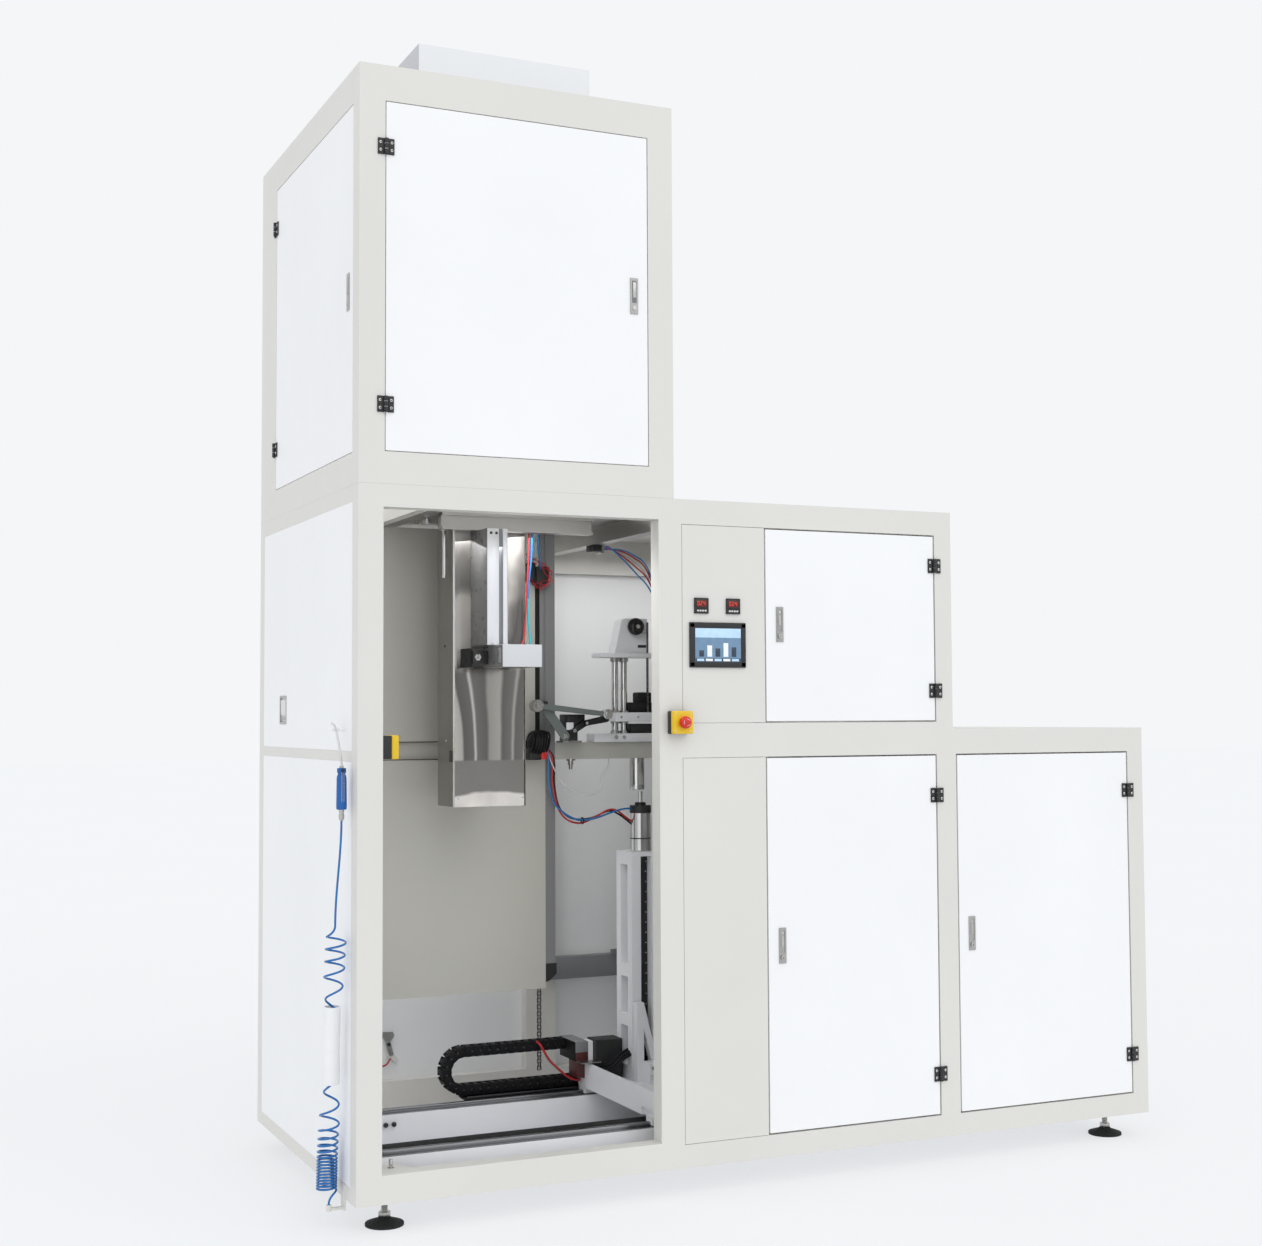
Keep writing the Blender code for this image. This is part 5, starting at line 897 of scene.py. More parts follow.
def touch_screen():
    """Bezel, glass and a plain page of fields and keys."""
    x0, x1, z0, z1 = 1.081, 1.282, 1.564, 1.708
    shape = Shape()
    edge = 0.0175
    for x, z in (((x0, x1), (z1 - edge, z1)), ((x0, x1), (z0, z0 + edge)),
                 ((x0, x0 + edge), (z0 + 0.002, z1 - 0.002)),
                 ((x1 - edge, x1), (z0 + 0.002, z1 - 0.002))):
        shape.box(x, (-0.0074, -0.0002), z, BLACK, 0.0018, 3)
    shape.box((x0 + 0.016, x1 - 0.016), (-0.0068, -0.0050), (z0 + 0.016, z1 - 0.016),
              GLOSS_BLACK, 0.0004)
    left, right, low, high = x0 + 0.0185, x1 - 0.0185, z0 + 0.0185, z1 - 0.0185
    face = -0.0070
    shape.box((left, right), (face, -0.0060), (low, high), SCREEN_GLASS, 0.0002)
    shape.box((left + 0.0006, right - 0.0006), (face - 0.0002, face + 0.0004),
              (high - 0.030, high - 0.0006), SCREEN_SKY, 0.0001)
    shape.box((left + 0.0006, right - 0.0006), (face - 0.0002, face + 0.0004),
              (low + 0.0006, low + 0.011), SCREEN_DARK, 0.0001)
    for k in range(5):
        start = left + 0.006 + k * 0.0312
        shape.box((start, start + 0.0255), (face - 0.0003, face + 0.0004),
                  (low + 0.0020, low + 0.0094), SCREEN_PALE if k % 2 else SCREEN_SKY, 0.0004)
    for k, height in enumerate((0.020, 0.036, 0.027, 0.044, 0.031)):
        start = left + 0.014 + k * 0.029
        shape.box((start, start + 0.017), (face - 0.0003, face + 0.0004),
                  (low + 0.016, low + 0.016 + height), SCREEN_PALE if k % 2 else SCREEN_DARK,
                  0.0004)
    shape.done("touch_screen_face")


touch_screen()


def seven_segments(shape, x, z, width, height, lit, finish, face):
    """One digit of a seven-segment display."""
    t = width * 0.20
    mid = z + height / 2
    bars = {"a": ((x + t, x + width - t), (z + height - t, z + height)),
            "d": ((x + t, x + width - t), (z, z + t)),
            "g": ((x + t, x + width - t), (mid - t / 2, mid + t / 2)),
            "f": ((x, x + t), (mid + t * 0.3, z + height - t * 0.5)),
            "b": ((x + width - t, x + width), (mid + t * 0.3, z + height - t * 0.5)),
            "e": ((x, x + t), (z + t * 0.5, mid - t * 0.3)),
            "c": ((x + width - t, x + width), (z + t * 0.5, mid - t * 0.3))}
    for key in lit:
        across, up = bars[key]
        shape.box(across, (face - 0.0003, face + 0.0003), up, finish, 0.0001, 1)


def controller(name, x0):
    """Panel controller: bezel, red digits behind glass and a row of keys."""
    z0 = 1.736
    x1, z1 = x0 + 0.050, z0 + 0.050
    shape = Shape()
    for x, z in (((x0, x1), (z1 - 0.005, z1)), ((x0, x1), (z0, z0 + 0.0045)),
                 ((x0, x0 + 0.005), (z0 + 0.001, z1 - 0.001)),
                 ((x1 - 0.005, x1), (z0 + 0.001, z1 - 0.001))):
        shape.box(x, (-0.0066, -0.0002), z, BLACK, 0.0012, 3)
    shape.box((x0 + 0.0042, x1 - 0.0042), (-0.0062, -0.0045), (z0 + 0.004, z1 - 0.004),
              GLOSS_BLACK, 0.0005)
    face = -0.0064
    shape.box((x0 + 0.0065, x1 - 0.0065), (face, -0.0058), (z0 + 0.0205, z1 - 0.0065),
              DIGIT_FIELD, 0.0003)
    for k, lit in enumerate(("abcdef", "abged", "fgbc")):
        seven_segments(shape, x0 + 0.0100 + k * 0.0105, z0 + 0.0260, 0.0068, 0.0130, lit, DIGITS,
                       face)
    for k in range(4):
        start = x0 + 0.0080 + k * 0.0090
        shape.box((start, start + 0.0068), (-0.0072, -0.0058), (z0 + 0.0065, z0 + 0.0118), PALE,
                  0.0008)
    shape.done(name)


controller("controller_left_face", 1.099)
controller("controller_right_face", 1.213)


def stop_station():
    """Stop box: black base with conduit entry, yellow cover with four screws, mushroom head."""
    x0, x1, z0, z1 = 1.003, 1.073, 1.354, 1.426
    base = Shape()
    base.box((x0, x1), (-0.0225, -0.0004), (z0, z1), BLACK, 0.0030, 3)
    base.box((x0 + 0.0015, x1 - 0.0015), (-0.0245, -0.0220), (z0 + 0.0015, z1 - 0.0015), RUBBER,
             0.0008)
    base.box((x0, x1), (-0.0448, -0.0238), (z0, z1), YELLOW, 0.0045, 4)
    for x in (x0 + 0.0085, x1 - 0.0085):
        for z in (z0 + 0.0085, z1 - 0.0085):
            base.screw((x, -0.0446, z), FRONT, 0.0028, height=0.0004)
    base.done("stop_station", replaced=("estop_box",))
    middle = (1.038, 1.390)
    head = Shape()
    head.lathe([(0, 0), (0, 0.0155), (0.0012, 0.0158), (0.0034, 0.0158), (0.0040, 0.0126),
                (0.0085, 0.0124), (0.0088, 0.0150), (0.0100, 0.0182), (0.0118, 0.0198),
                (0.0150, 0.0199), (0.0190, 0.0189), (0.0222, 0.0168), (0.0246, 0.0135),
                (0.0262, 0.0090), (0.0270, 0.0045), (0.0272, 0)],
               (middle[0], -0.0456, middle[1]), FRONT, RED, 36)
    for k in range(3):
        start = 2 * math.pi * k / 3
        arc = []
        for s in range(9):
            angle = start + 0.25 + 1.5 * s / 8
            arc.append((middle[0] + 0.0108 * math.cos(angle), -0.0706,
                        middle[1] + 0.0108 * math.sin(angle)))
        head.tube(arc, [0.0004, 0.0007, 0.0009, 0.0010, 0.0010, 0.0010, 0.0010, 0.0008, 0.0004],
                  PALE, 6)
    head.done("stop_mushroom", replaced=("estop_button",))


stop_station()


# Levelling feet

FEET = {"foot_front_left": (0.115, 0.100), "foot_front_right": (2.775, 0.100),
        "foot_back_left": (0.150, 1.150), "foot_back_right": (2.775, 1.150)}


def levelling_foot(name, x, y):
    """Ringed rubber pad, nut, threaded stem and the plate and nut under the frame."""
    place = (x, y, FLOOR)
    shape = Shape()
    profile = [(0.0, 0), (0.0, 0.0565), (0.0006, 0.0576), (0.0070, 0.0578), (0.0084, 0.0566)]
    for k in range(6):
        t = k / 6
        radius = 0.0545 - 0.0305 * t
        height = 0.0092 + 0.0105 * t
        profile += [(height, radius), (height + 0.0008, radius - 0.0022),
                    (height + 0.0010, radius - 0.0040)]
    profile += [(0.0212, 0.0205), (0.0252, 0.0180), (0.0260, 0.0165), (0.0260, 0)]
    shape.lathe(profile, place, UP, RUBBER, 48)
    shape.lathe([(0.0262, 0), (0.0262, 0.0180), (0.0275, 0.0188), (0.0385, 0.0188),
                 (0.0398, 0.0178), (0.0398, 0)], place, UP, STEEL, 6)
    thread = [(0.0390, 0), (0.0390, 0.0092)]
    height = 0.0400
    while height < 0.0740:
        thread += [(height, 0.0099), (height + 0.0010, 0.0090)]
        height += 0.0020
    thread += [(0.0760, 0.0096), (0.0760, 0)]
    shape.lathe(thread, place, UP, STEEL, 24)
    shape.box((x - 0.0300, x + 0.0300), (y - 0.0300, y + 0.0300), (-0.0080, -0.0004), STEEL,
              0.0014)
    shape.lathe([(0, 0), (0, 0.0165), (0.0080, 0.0165), (0.0080, 0)], (x, y, -0.0162), UP, STEEL,
                6)
    shape.done(name + "_screw_foot", replaced=(name,))


for name, (x, y) in FEET.items():
    levelling_foot(name, x, y)


# Filling bay: spout, clamp and what hangs from the ceiling

def corner_ring(inset, height):
    """The spout's outline at an inset, anticlockwise from above."""
    radius = 0.012 - inset
    x0, x1, y0, y1 = 0.416 + inset, 0.668 - inset, 0.358 + inset, 0.520 - inset
    ring = []
    for cx, cy, start in ((x1 - radius, y0 + radius, -90), (x1 - radius, y1 - radius, 0),
                          (x0 + radius, y1 - radius, 90), (x0 + radius, y0 + radius, 180)):
        for k in range(7):
            angle = math.radians(start + 15 * k)
            ring.append((cx + radius * math.cos(angle), cy + radius * math.sin(angle), height))
    return ring


def spout():
    """Folded spout, open at both ends: a mirror front with painted reflections, sides in a darker
    copy of the sheet as painted shade, rims and rounded front corners in a lighter copy as a
    painted highlight.
    """
    def finish(normal):
        # Rims and rounded front corners take the painted highlight, the front the painted
        # reflections, the sides the painted shade
        if abs(normal.z) > 0.5 or -0.9 < normal.y < -0.5:
            return SPOUT_EDGE_PAINTED_HIGHLIGHT
        return PAINTED_REFLECTIONS if normal.y < -0.5 else SPOUT_SIDE_PAINTED_SHADE

    top, low = CEILING, 1.122
    shape = Shape()
    shape.shell([corner_ring(*pair) for pair in
                 ((0.004, top), (0.004, low + 0.001), (0.003, low), (0.001, low),
                  (0, low + 0.001), (0, top), (0.004, top))], finish)
    shape.screw((0.4162, 0.440, 1.640), LEFT, 0.0045, DARK_STEEL)
    shape.screw((0.4162, 0.430, 1.3345), LEFT, 0.0035)
    # Thin black plate for the notch by the front edge: painted shade
    shape.box((0.4156, 0.4172), (0.366, 0.396), (1.266, 1.303), BLACK, 0.0004)
    for x in (0.432, 0.652):
        shape.screw((x, 0.3578, 1.150), FRONT, 0.0035, height=0.0008)
    shape.done("spout_sheet", replaced=("filling_spout",))


def clamp():
    """Slide with a grooved face; under it the clamp box with its block, nut and rubber pad."""
    slide = Shape()
    slide.box((0.4762, 0.5155), (0.2050, 0.3575), (1.6362, 2.0045), PALE_ALUMINIUM, 0.0008)
    # Thin near-black skin on the slide's left face: painted shade
    slide.box((0.4750, 0.4766), (0.2055, 0.3577), (1.6360, 2.0047), CLAMP_PAINTED_SHADE, 0.0004)
    slide.box((0.5140, 0.5300), (0.2130, 0.3575), (1.6362, 2.0045), RAIL_GREY, 0.0004)
    slide.box((0.5290, 0.5450), (0.2050, 0.3575), (1.6362, 2.0045), PALE_ALUMINIUM, 0.0020, 3)
    for x in (0.489, 0.507):
        slide.screw((x, 0.2052, 1.990), FRONT, 0.0045, DARK_STEEL)
    slide.done("clamp_slide_profile", replaced=("clamp_slide",))
    head = Shape()
    # The clamp box is near-black except its white front and top plates: painted shade on its sides
    head.box((0.5003, 0.6307), (0.1322, 0.3100), (1.5660, 1.6350), CLAMP_PAINTED_SHADE, 0.0012)
    head.box((0.5000, 0.6310), (0.1300, 0.1330), (1.5657, 1.6357), CLAMP_WHITE, 0.0010)
    head.box((0.5010, 0.6310), (0.1310, 0.3090), (1.6344, 1.6357), CLAMP_WHITE, 0.0004)
    head.box((0.4998, 0.5006), (0.1500, 0.1820), (1.5790, 1.6260), ALUMINIUM, 0.0003)
    head.box((0.4500, 0.5020), (0.2620, 0.3460), (1.5777, 1.6197), BLACK, 0.0020, 3)
    head.lathe([(0, 0), (0, 0.0115), (0.0040, 0.0115), (0.0060, 0.0088), (0.0110, 0.0088),
                (0.0118, 0.0076), (0.0118, 0)], (0.4650, 0.2622, 1.5990), FRONT, CHROME, 6)
    head.box((0.4380, 0.4520), (0.2760, 0.3520), (1.5677, 1.6277), RUBBER, 0.0022, 3)
    head.done("clamp_head", replaced=("bag_clamp",))


def ceiling_fittings():
    """Chrome nozzle stub, bolts and a bracket under the ceiling plate."""
    shape = Shape()
    shape.lathe([(0, 0), (0, 0.0060), (0.0010, 0.0068), (0.1500, 0.0068), (0.1510, 0.0095),
                 (0.1640, 0.0095), (0.1650, 0.0068), (0.2016, 0.0068), (0.2016, 0)],
                (0.400, 0.400, 1.8585), UP, CHROME, 20)
    shape.box((0.340, 0.350), (0.400, 0.440), (2.034, 2.0600), ALUMINIUM, 0.0010)
    shape.box((0.340, 0.366), (0.400, 0.440), (2.031, 2.0350), ALUMINIUM, 0.0008)
    for x, y in ((0.360, 0.560), (0.384, 0.640), (0.700, 0.420), (0.760, 0.520), (0.905, 0.660),
                 (0.850, 0.380), (0.930, 0.480)):
        shape.bolt((x, y, 2.0600), DOWN, 0.0055)
    shape.done("ceiling_fittings")


def bay_tubes():
    """Air tubes from the ceiling to the clamp, and on to the head unit, with their connector."""
    shape = Shape()
    shape.line([(0.668, 0.330, CEILING), (0.6659, 0.330, 2.031), (0.6644, 0.330, 1.936),
                (0.660, 0.330, 1.857), (0.6564, 0.330, 1.792), (0.650, 0.325, 1.714),
                (0.640, 0.312, 1.660), (0.624, 0.296, 1.633)], 0.0030, TUBE_RED)
    shape.line([(0.679, 0.330, CEILING), (0.6771, 0.330, 2.031), (0.6741, 0.330, 1.936),
                (0.667, 0.333, 1.857), (0.6641, 0.335, 1.792)], 0.0035, TUBE_BLUE)
    shape.line([(0.6641, 0.335, 1.794), (0.6653, 0.335, 1.714), (0.667, 0.325, 1.655),
                (0.650, 0.308, 1.615), (0.628, 0.296, 1.605)], 0.0036, TUBE_TEAL)
    shape.line([(0.765, 0.500, CEILING), (0.7846, 0.550, 1.993), (0.8101, 0.600, 1.950),
                (0.838, 0.664, 1.916)], 0.0035, TUBE_BLUE)
    shape.box((1.004, 1.042), (0.596, 0.648), (1.984, 2.0052), BLACK, 0.0025, 3)
    shape.box((1.038, 1.052), (0.600, 0.644), (1.978, 2.0052), LOCK_STEEL, 0.0012)
    for k, (finish, dy, sag) in enumerate(((TUBE_BLUE, 0.0, 0.0), (TUBE_RED, 0.008, 0.026),
                                           (TUBE_BLUE, 0.016, 0.066), (TUBE_RED, 0.024, 0.060),
                                           (TUBE_CLEAR, 0.030, 0.046))):
        y = 0.606 + dy
        shape.line([(1.048, y, 1.992), (1.072, y, 2.000 - 0.1 * sag),
                    (1.128, y, 1.957 + sag * 0.55), (1.180, y, 1.908 + sag),
                    (1.2255, y, 1.862 + sag * 1.15), (1.285, 0.660, 1.790 + sag * 0.5),
                    (1.306 + k * 0.004, 0.712, 1.690), (1.310 + k * 0.004, 0.722, 1.6338)],
                   0.0028, finish, 36)
    shape.done("bay_air_tubes")


def post_wiring():
    """Black cable channel beside the post, terminal boxes at its top, their red wires."""
    shape = Shape()
    shape.box((0.8326, 0.8500), (0.7020, 0.7140), (BEAM_TOP, 1.8700), RUBBER, 0.0012)
    shape.box((0.8500, 0.8698), (0.7010, 0.7140), (BEAM_TOP, 2.0490), POST_GREY, 0.0008)
    shape.box((0.8200, 0.8680), (0.6540, 0.7010), (1.8660, 1.9300), BLACK, 0.0040, 3)
    shape.box((0.7960, 0.8220), (0.6640, 0.6998), (1.8780, 1.9420), BLACK, 0.0030, 3)
    for k in range(5):
        a = 0.011 * math.sin(k * 2.4)
        b = 0.012 * math.cos(k * 1.7)
        shape.line([(0.788 + a, 0.668, 1.962 + b), (0.806 - b, 0.652 + a, 1.950 + a),
                    (0.838 + a, 0.646, 1.936 - b), (0.862 + b, 0.648, 1.914 + a),
                    (0.873 - a, 0.651, 1.890 + b), (0.850 + b, 0.650, 1.868 - a),
                    (0.826 - a, 0.652, 1.858 + b), (0.806 + b, 0.660, 1.880 - a)],
                   0.0011, TUBE_RED, 34, 6)
    shape.done("post_wiring")


def follow_carriage(made, start, end):
    """Bake a piece's placement into its mesh; start and end don't move it."""
    tuple(row(start))
    tuple(row(end))
    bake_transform(made)


def cable_bundle():
    """Taped loom and coiled cable where the post meets the beam, and the clear drain tube."""
    shape = Shape()
    shape.lathe([(0, 0), (0.004, 0.016), (0.014, 0.029), (0.030, 0.037), (0.052, 0.0378),
                 (0.066, 0.030), (0.076, 0.016), (0.080, 0)], (0.789, 0.662, 1.322), (1, 0, 0),
                TUBE_BLACK, 24)
    for k in range(7):
        t = k / 6
        r = 0.030 + 0.008 * math.sin(2.2 * t + 0.5)
        ring = [(0.799 + 0.058 * t + 0.006 * math.sin(a), 0.662 + r * math.cos(a) * 0.98,
                 1.322 + r * math.sin(a) * 1.06)
                for a in [2 * math.pi * s / 20 for s in range(20)]]
        shape.tube(ring, 0.0034, TUBE_BLACK, 8, True)
    shape.box((0.790, 0.834), (0.648, 0.6998), (1.262, 1.304), BLACK, 0.0030, 3)
    shape.box((0.833, 0.853), (0.644, 0.6998), (1.264, 1.304), RED, 0.0025, 3)
    shape.line([(0.861, 0.674, 1.3055), (0.8869, 0.672, 1.2395), (0.9168, 0.668, 1.1836),
                (0.9618, 0.666, 1.1515), (1.0224, 0.665, 1.1363), (1.0606, 0.667, 1.1529),
                (1.0722, 0.672, 1.1946), (1.1047, 0.690, 1.2440), (1.116, 0.712, 1.2624)],
               0.0021, TUBE_CLEAR, 48)
    shape.done("cable_bundle")
    arcs = Shape()
    arcs.line([(0.862, 0.676, 1.304), (0.8866, 0.676, 1.264), (0.8875, 0.680, 1.191),
               (0.9012, 0.680, 1.115), (0.9236, 0.680, 1.070), (0.9573, 0.680, 1.046),
               (0.9988, 0.680, 1.0407), (1.0482, 0.680, 1.059), (1.098, 0.680, 1.0825),
               (1.1326, 0.682, 1.080), (1.168, 0.686, 1.056), (1.1945, 0.693, 1.040)], 0.0034,
              TUBE_RED, 72)
    arcs.line([(0.858, 0.668, 1.304), (0.8686, 0.668, 1.262), (0.8723, 0.672, 1.178),
               (0.890, 0.673, 1.1155), (0.9199, 0.673, 1.0837), (0.9611, 0.674, 1.0584),
               (0.9988, 0.674, 1.0504), (1.0482, 0.674, 1.056), (1.1095, 0.678, 1.0738),
               (1.155, 0.684, 1.084), (1.1935, 0.690, 1.086)], 0.0034, TUBE_BLUE, 72)
    arcs.line([(0.868, 0.686, 1.304), (0.8962, 0.687, 1.2637), (0.8985, 0.688, 1.177),
               (0.9117, 0.688, 1.1078), (0.9369, 0.688, 1.0726), (0.9745, 0.687, 1.0543),
               (1.0351, 0.687, 1.0561), (1.104, 0.688, 1.0787), (1.1425, 0.690, 1.067),
               (1.175, 0.692, 1.045), (1.1945, 0.697, 1.031)], 0.0034, TUBE_BLACK, 72)
    arcs.lathe([(-0.002, 0.0075), (-0.002, 0.0125), (0.002, 0.0125), (0.002, 0.0075),
                (-0.002, 0.0075)], (1.000, 0.680, 1.048), (1, 0, 0), BLACK, 16)
    made = arcs.done("cylinder_tubes", ride=False)
    follow_carriage(made, (0.900, 0.680, 1.06), (1.185, 0.680, 1.06))


def hull(a, b, ra, rb):
    """Outline round two circles, in x and z."""
    angle = math.atan2(b[1] - a[1], b[0] - a[0])
    made = []
    for (cx, cz), radius, start in ((b, rb, -90), (a, ra, 90)):
        for k in range(13):
            turn = angle + math.radians(start + 15 * k)
            made.append((cx + radius * math.cos(turn), cz + radius * math.sin(turn)))
    return made


def gripper():
    """Bag gripper beside the post: two painted levers on chrome pins and a black stand."""
    shape = Shape()
    shape.plate(hull((0.815, 1.448), (1.077, 1.418), 0.0105, 0.0085), 0.6325, 0.6455, "Y", ARM_GREY,
                0.0014)
    shape.plate(hull((0.845, 1.446), (0.923, 1.342), 0.0165, 0.0165), 0.6465, 0.6500, "Y",
                ARM_GREY, 0.0008)
    shape.plate(hull((0.923, 1.342), (1.003, 1.388), 0.0110, 0.0100), 0.6500, 0.6580, "Y",
                DARK_STEEL, 0.0010)
    shape.plate(hull((1.003, 1.388), (1.080, 1.402), 0.0100, 0.0120), 0.6500, 0.6580, "Y",
                DARK_STEEL, 0.0010)
    for x, z, r, finish in ((0.815, 1.448, 0.0215, LOCK_STEEL), (1.077, 1.418, 0.0180, CHROME)):
        shape.lathe([(0, 0), (0, r * 0.8), (0.0015, r), (0.0330, r), (0.0345, r * 0.9),
                     (0.0345, r * 0.55), (0.0400, r * 0.5), (0.0400, 0)], (x, 0.6590, z), FRONT,
                    finish, 28)
    for x, z, r in ((0.845, 1.446, 0.0060), (0.923, 1.342, 0.0085), (1.003, 1.388, 0.0062),
                    (0.958, 1.362, 0.0070)):
        shape.lathe([(0, 0), (0, r), (0.0160, r), (0.0172, r * 0.8), (0.0172, 0)],
                    (x, 0.6590, z), FRONT, CHROME, 20)
    for k in range(3):
        shape.box((0.829 + k * 0.008, 0.834 + k * 0.008), (0.6260, 0.6330),
                  (1.456 - k * 0.001, 1.465 - k * 0.001), BLACK, 0.0008)
    shape.box((0.9350, 0.9750), (0.6580, 0.7300), (BEAM_TOP, 1.4180), BLACK, 0.0025, 3)
    shape.box((0.9680, 1.0030), (0.6600, 0.7100), (1.3780, 1.4180), GLOSS_BLACK, 0.0030, 3)
    shape.box((0.9300, 0.9560), (0.6500, 0.6585), (1.3640, 1.3900), HEAD_WHITE, 0.0015)
    shape.box((0.9200, 0.9900), (0.6570, 0.7260), (BEAM_TOP, 1.3270), LOCK_STEEL, 0.0010)
    shape.bolt((0.9290, 0.7000, 1.3268), UP, 0.0045)
    shape.done("gripper_levers", replaced=("gripper_arm",))


def head():
    """Sealing head: pale castings on two chrome rods, a black drive block and a ball knob."""
    shape = Shape()
    shape.box((1.0500, 1.3300), (0.6875, 0.7575), (BEAM_TOP, 1.3503), HEAD_WHITE, 0.0014)
    shape.box((1.0750, 1.3300), (0.6775, 0.7675), (1.6180, 1.6340), HEAD_WHITE, 0.0012)
    shape.box((1.1300, 1.3300), (0.6775, 0.7675), (1.3920, 1.4240), HEAD_WHITE, 0.0018, 3)
    shape.plate([(1.1300, 1.6330), (1.2600, 1.6330), (1.2600, 1.7580), (1.1700, 1.7580),
                 (1.1580, 1.7500), (1.1380, 1.6600)], 0.6925, 0.7525, "Y", HEAD_WHITE, 0.0016)
    shape.box((1.2220, 1.2540), (0.6915, 0.6930), (1.6540, 1.6640), BLACK, 0.0006)
    shape.box((1.2330, 1.2560), (0.6917, 0.6930), (1.7060, 1.7080), RAIL_GREY, 0.0004)
    shape.box((1.1960, 1.2900), (0.6905, 0.7500), (1.3503, 1.3840), BLACK, 0.0030, 3)
    shape.box((1.2000, 1.2900), (0.7000, 0.7640), (1.4238, 1.4600), RUBBER, 0.0040, 3)
    shape.box((1.2300, 1.2840), (0.7100, 0.7600), (1.4580, 1.4960), RUBBER, 0.0060, 3)
    for x in (1.1450, 1.1800):
        shape.rod((x, HEAD_Y, 1.3480), (x, HEAD_Y, 1.6200), 0.0120, CHROME, 32)
        for z, h in ((1.6050, 0.0130), (1.4240, 0.0070), (1.3850, 0.0070), (1.3503, 0.0090)):
            shape.lathe([(0, 0.0118), (0, 0.0160), (h, 0.0160), (h, 0.0118)], (x, HEAD_Y, z), UP,
                        LOCK_STEEL, 24)
    for x in (1.1333, 1.1643):
        shape.bolt((x, 0.6875, 1.3370), FRONT, 0.0055)
    for x in (1.150, 1.215, 1.280):
        shape.screw((x, 0.6775, 1.4080), FRONT, 0.0040)
    shape.lathe([(0, 0), (0, 0.0140), (0.0060, 0.0145), (0.0090, 0.0240), (0.0140, 0.0296),
                 (0.0220, 0.0310), (0.0300, 0.0292), (0.0360, 0.0250), (0.0400, 0.0190),
                 (0.0420, 0.0100), (0.0420, 0)], (1.2050, 0.6930, 1.7280), FRONT,
                GLOSS_BLACK, 40)
    shape.lathe([(0, 0), (0, 0.0070), (0.0008, 0.0076), (0.0015, 0.0062), (0.0015, 0)],
                (1.2050, 0.6512, 1.7280), FRONT, CHROME, 20)
    shape.box((1.2560, 1.2630), (0.6900, 0.6960), (1.4230, 1.7450), BLACK, 0.0008)
    for k in range(38):
        z = 1.4290 + 0.0083 * k
        shape.rod((1.2572, 0.6905, z), (1.2618, 0.6905, z), 0.0021, STEEL, 8, 0.0004)
    shape.done("sealing_head", replaced=("head_unit",))


def under_beam():
    """Docking sleeve for the lift rod and an air fitting, under the middle beam."""
    shape = Shape()
    shape.lathe([(0, 0.0206), (0, 0.0262), (0.0010, 0.0268), (0.0200, 0.0268), (0.0212, 0.0262),
                 (0.1108, 0.0262), (0.1108, 0.0206), (0, 0.0206)], (1.230, HEAD_Y, 1.1508), UP,
                CHROME, 36)
    # Black disc closing the sleeve's bore at the bottom: painted shade in the bore
    shape.lathe([(0, 0), (0, 0.0208), (0.0004, 0.0208), (0.0004, 0)], (1.230, HEAD_Y, 1.1506),
                UP, BLACK, 24)
    shape.lathe([(0, 0), (0, 0.0170), (0.0060, 0.0170), (0.0065, 0.0100), (0.0200, 0.0100),
                 (0.0210, 0.0072), (0.0360, 0.0065), (0.0370, 0)], (0.9731, 0.720, 1.2622),
                DOWN, STEEL, 24)
    shape.done("beam_underside_fittings")


def wall_fittings():
    """Dark grey cover over the back frame's wall rail as painted shade, foot bracket of the post, a
    hanging roller chain, a clip.
    """
    shape = Shape()
    # Thin dark grey cover over the back frame's beige wall rail: painted shade
    shape.box((1.0066, 2.0600), (1.1455, 1.1475), (0.4335, 0.5135), RAIL_GREY, 0.0005)
    shape.box((1.0066, 2.0600), (1.1455, 1.1940), (0.5125, 0.5138), RAIL_GREY, 0.0004)
    shape.box((1.3120, 1.3460), (1.1400, 1.1500), (0.5130, 0.5330), LOCK_STEEL, 0.0012)
    shape.plate([(0.8680, 0.5600), (0.9120, 0.5600), (0.9120, 0.5230), (0.8860, 0.5000),
                 (0.8680, 0.4960)], 0.7020, 0.7430, "Y", BLACK, 0.0012)
    shape.box((0.9160, 0.9320), (0.8920, 1.2324), (0.5600, 0.5720), DARK_STEEL, 0.0010)
    for k in range(34):
        z = 0.5580 - 0.0119 * k
        wide = 0.0062 if k % 2 else 0.0046
        for side in (-1, 1):
            shape.box((0.9240 + side * wide - 0.0010, 0.9240 + side * wide + 0.0010),
                      (0.8960, 0.9040), (z - 0.0080, z + 0.0080), DARK_STEEL, 0.0004, 1)
        shape.rod((0.9180, 0.900, z - 0.006), (0.9300, 0.900, z - 0.006), 0.0030, LOCK_STEEL, 10,
                  0.0004)
    shape.done("back_wall_fittings")
    clip = Shape()
    y = 1.222
    clip.plate([(0.4450, 0.2760), (0.4850, 0.2740), (0.4900, 0.2600), (0.4740, 0.2380),
                (0.4580, 0.2380), (0.4430, 0.2620)], y, y + 0.0080, "Y", LOCK_STEEL, 0.0012)
    clip.plate(hull((0.4660, 0.2380), (0.4760, 0.1980), 0.0080, 0.0100), y - 0.004, y + 0.0100, "Y",
               LOCK_STEEL, 0.0012)
    clip.plate(hull((0.4720, 0.1960), (0.4950, 0.1720), 0.0120, 0.0090), y - 0.002, y + 0.0110, "Y",
               PALE, 0.0012)
    clip.rod((0.4670, y - 0.0080, 0.2320), (0.4670, 1.2330, 0.2320), 0.0070, DARK_STEEL, 16)
    clip.line([(0.4760, y, 0.1820), (0.4600, y, 0.1600), (0.4360, y - 0.002, 0.1560),
               (0.4000, y, 0.1720), (0.3700, y + 0.006, 0.2000), (0.3600, 1.2330, 0.2200)], 0.0032,
              TUBE_RED)
    clip.done("ground_clip")


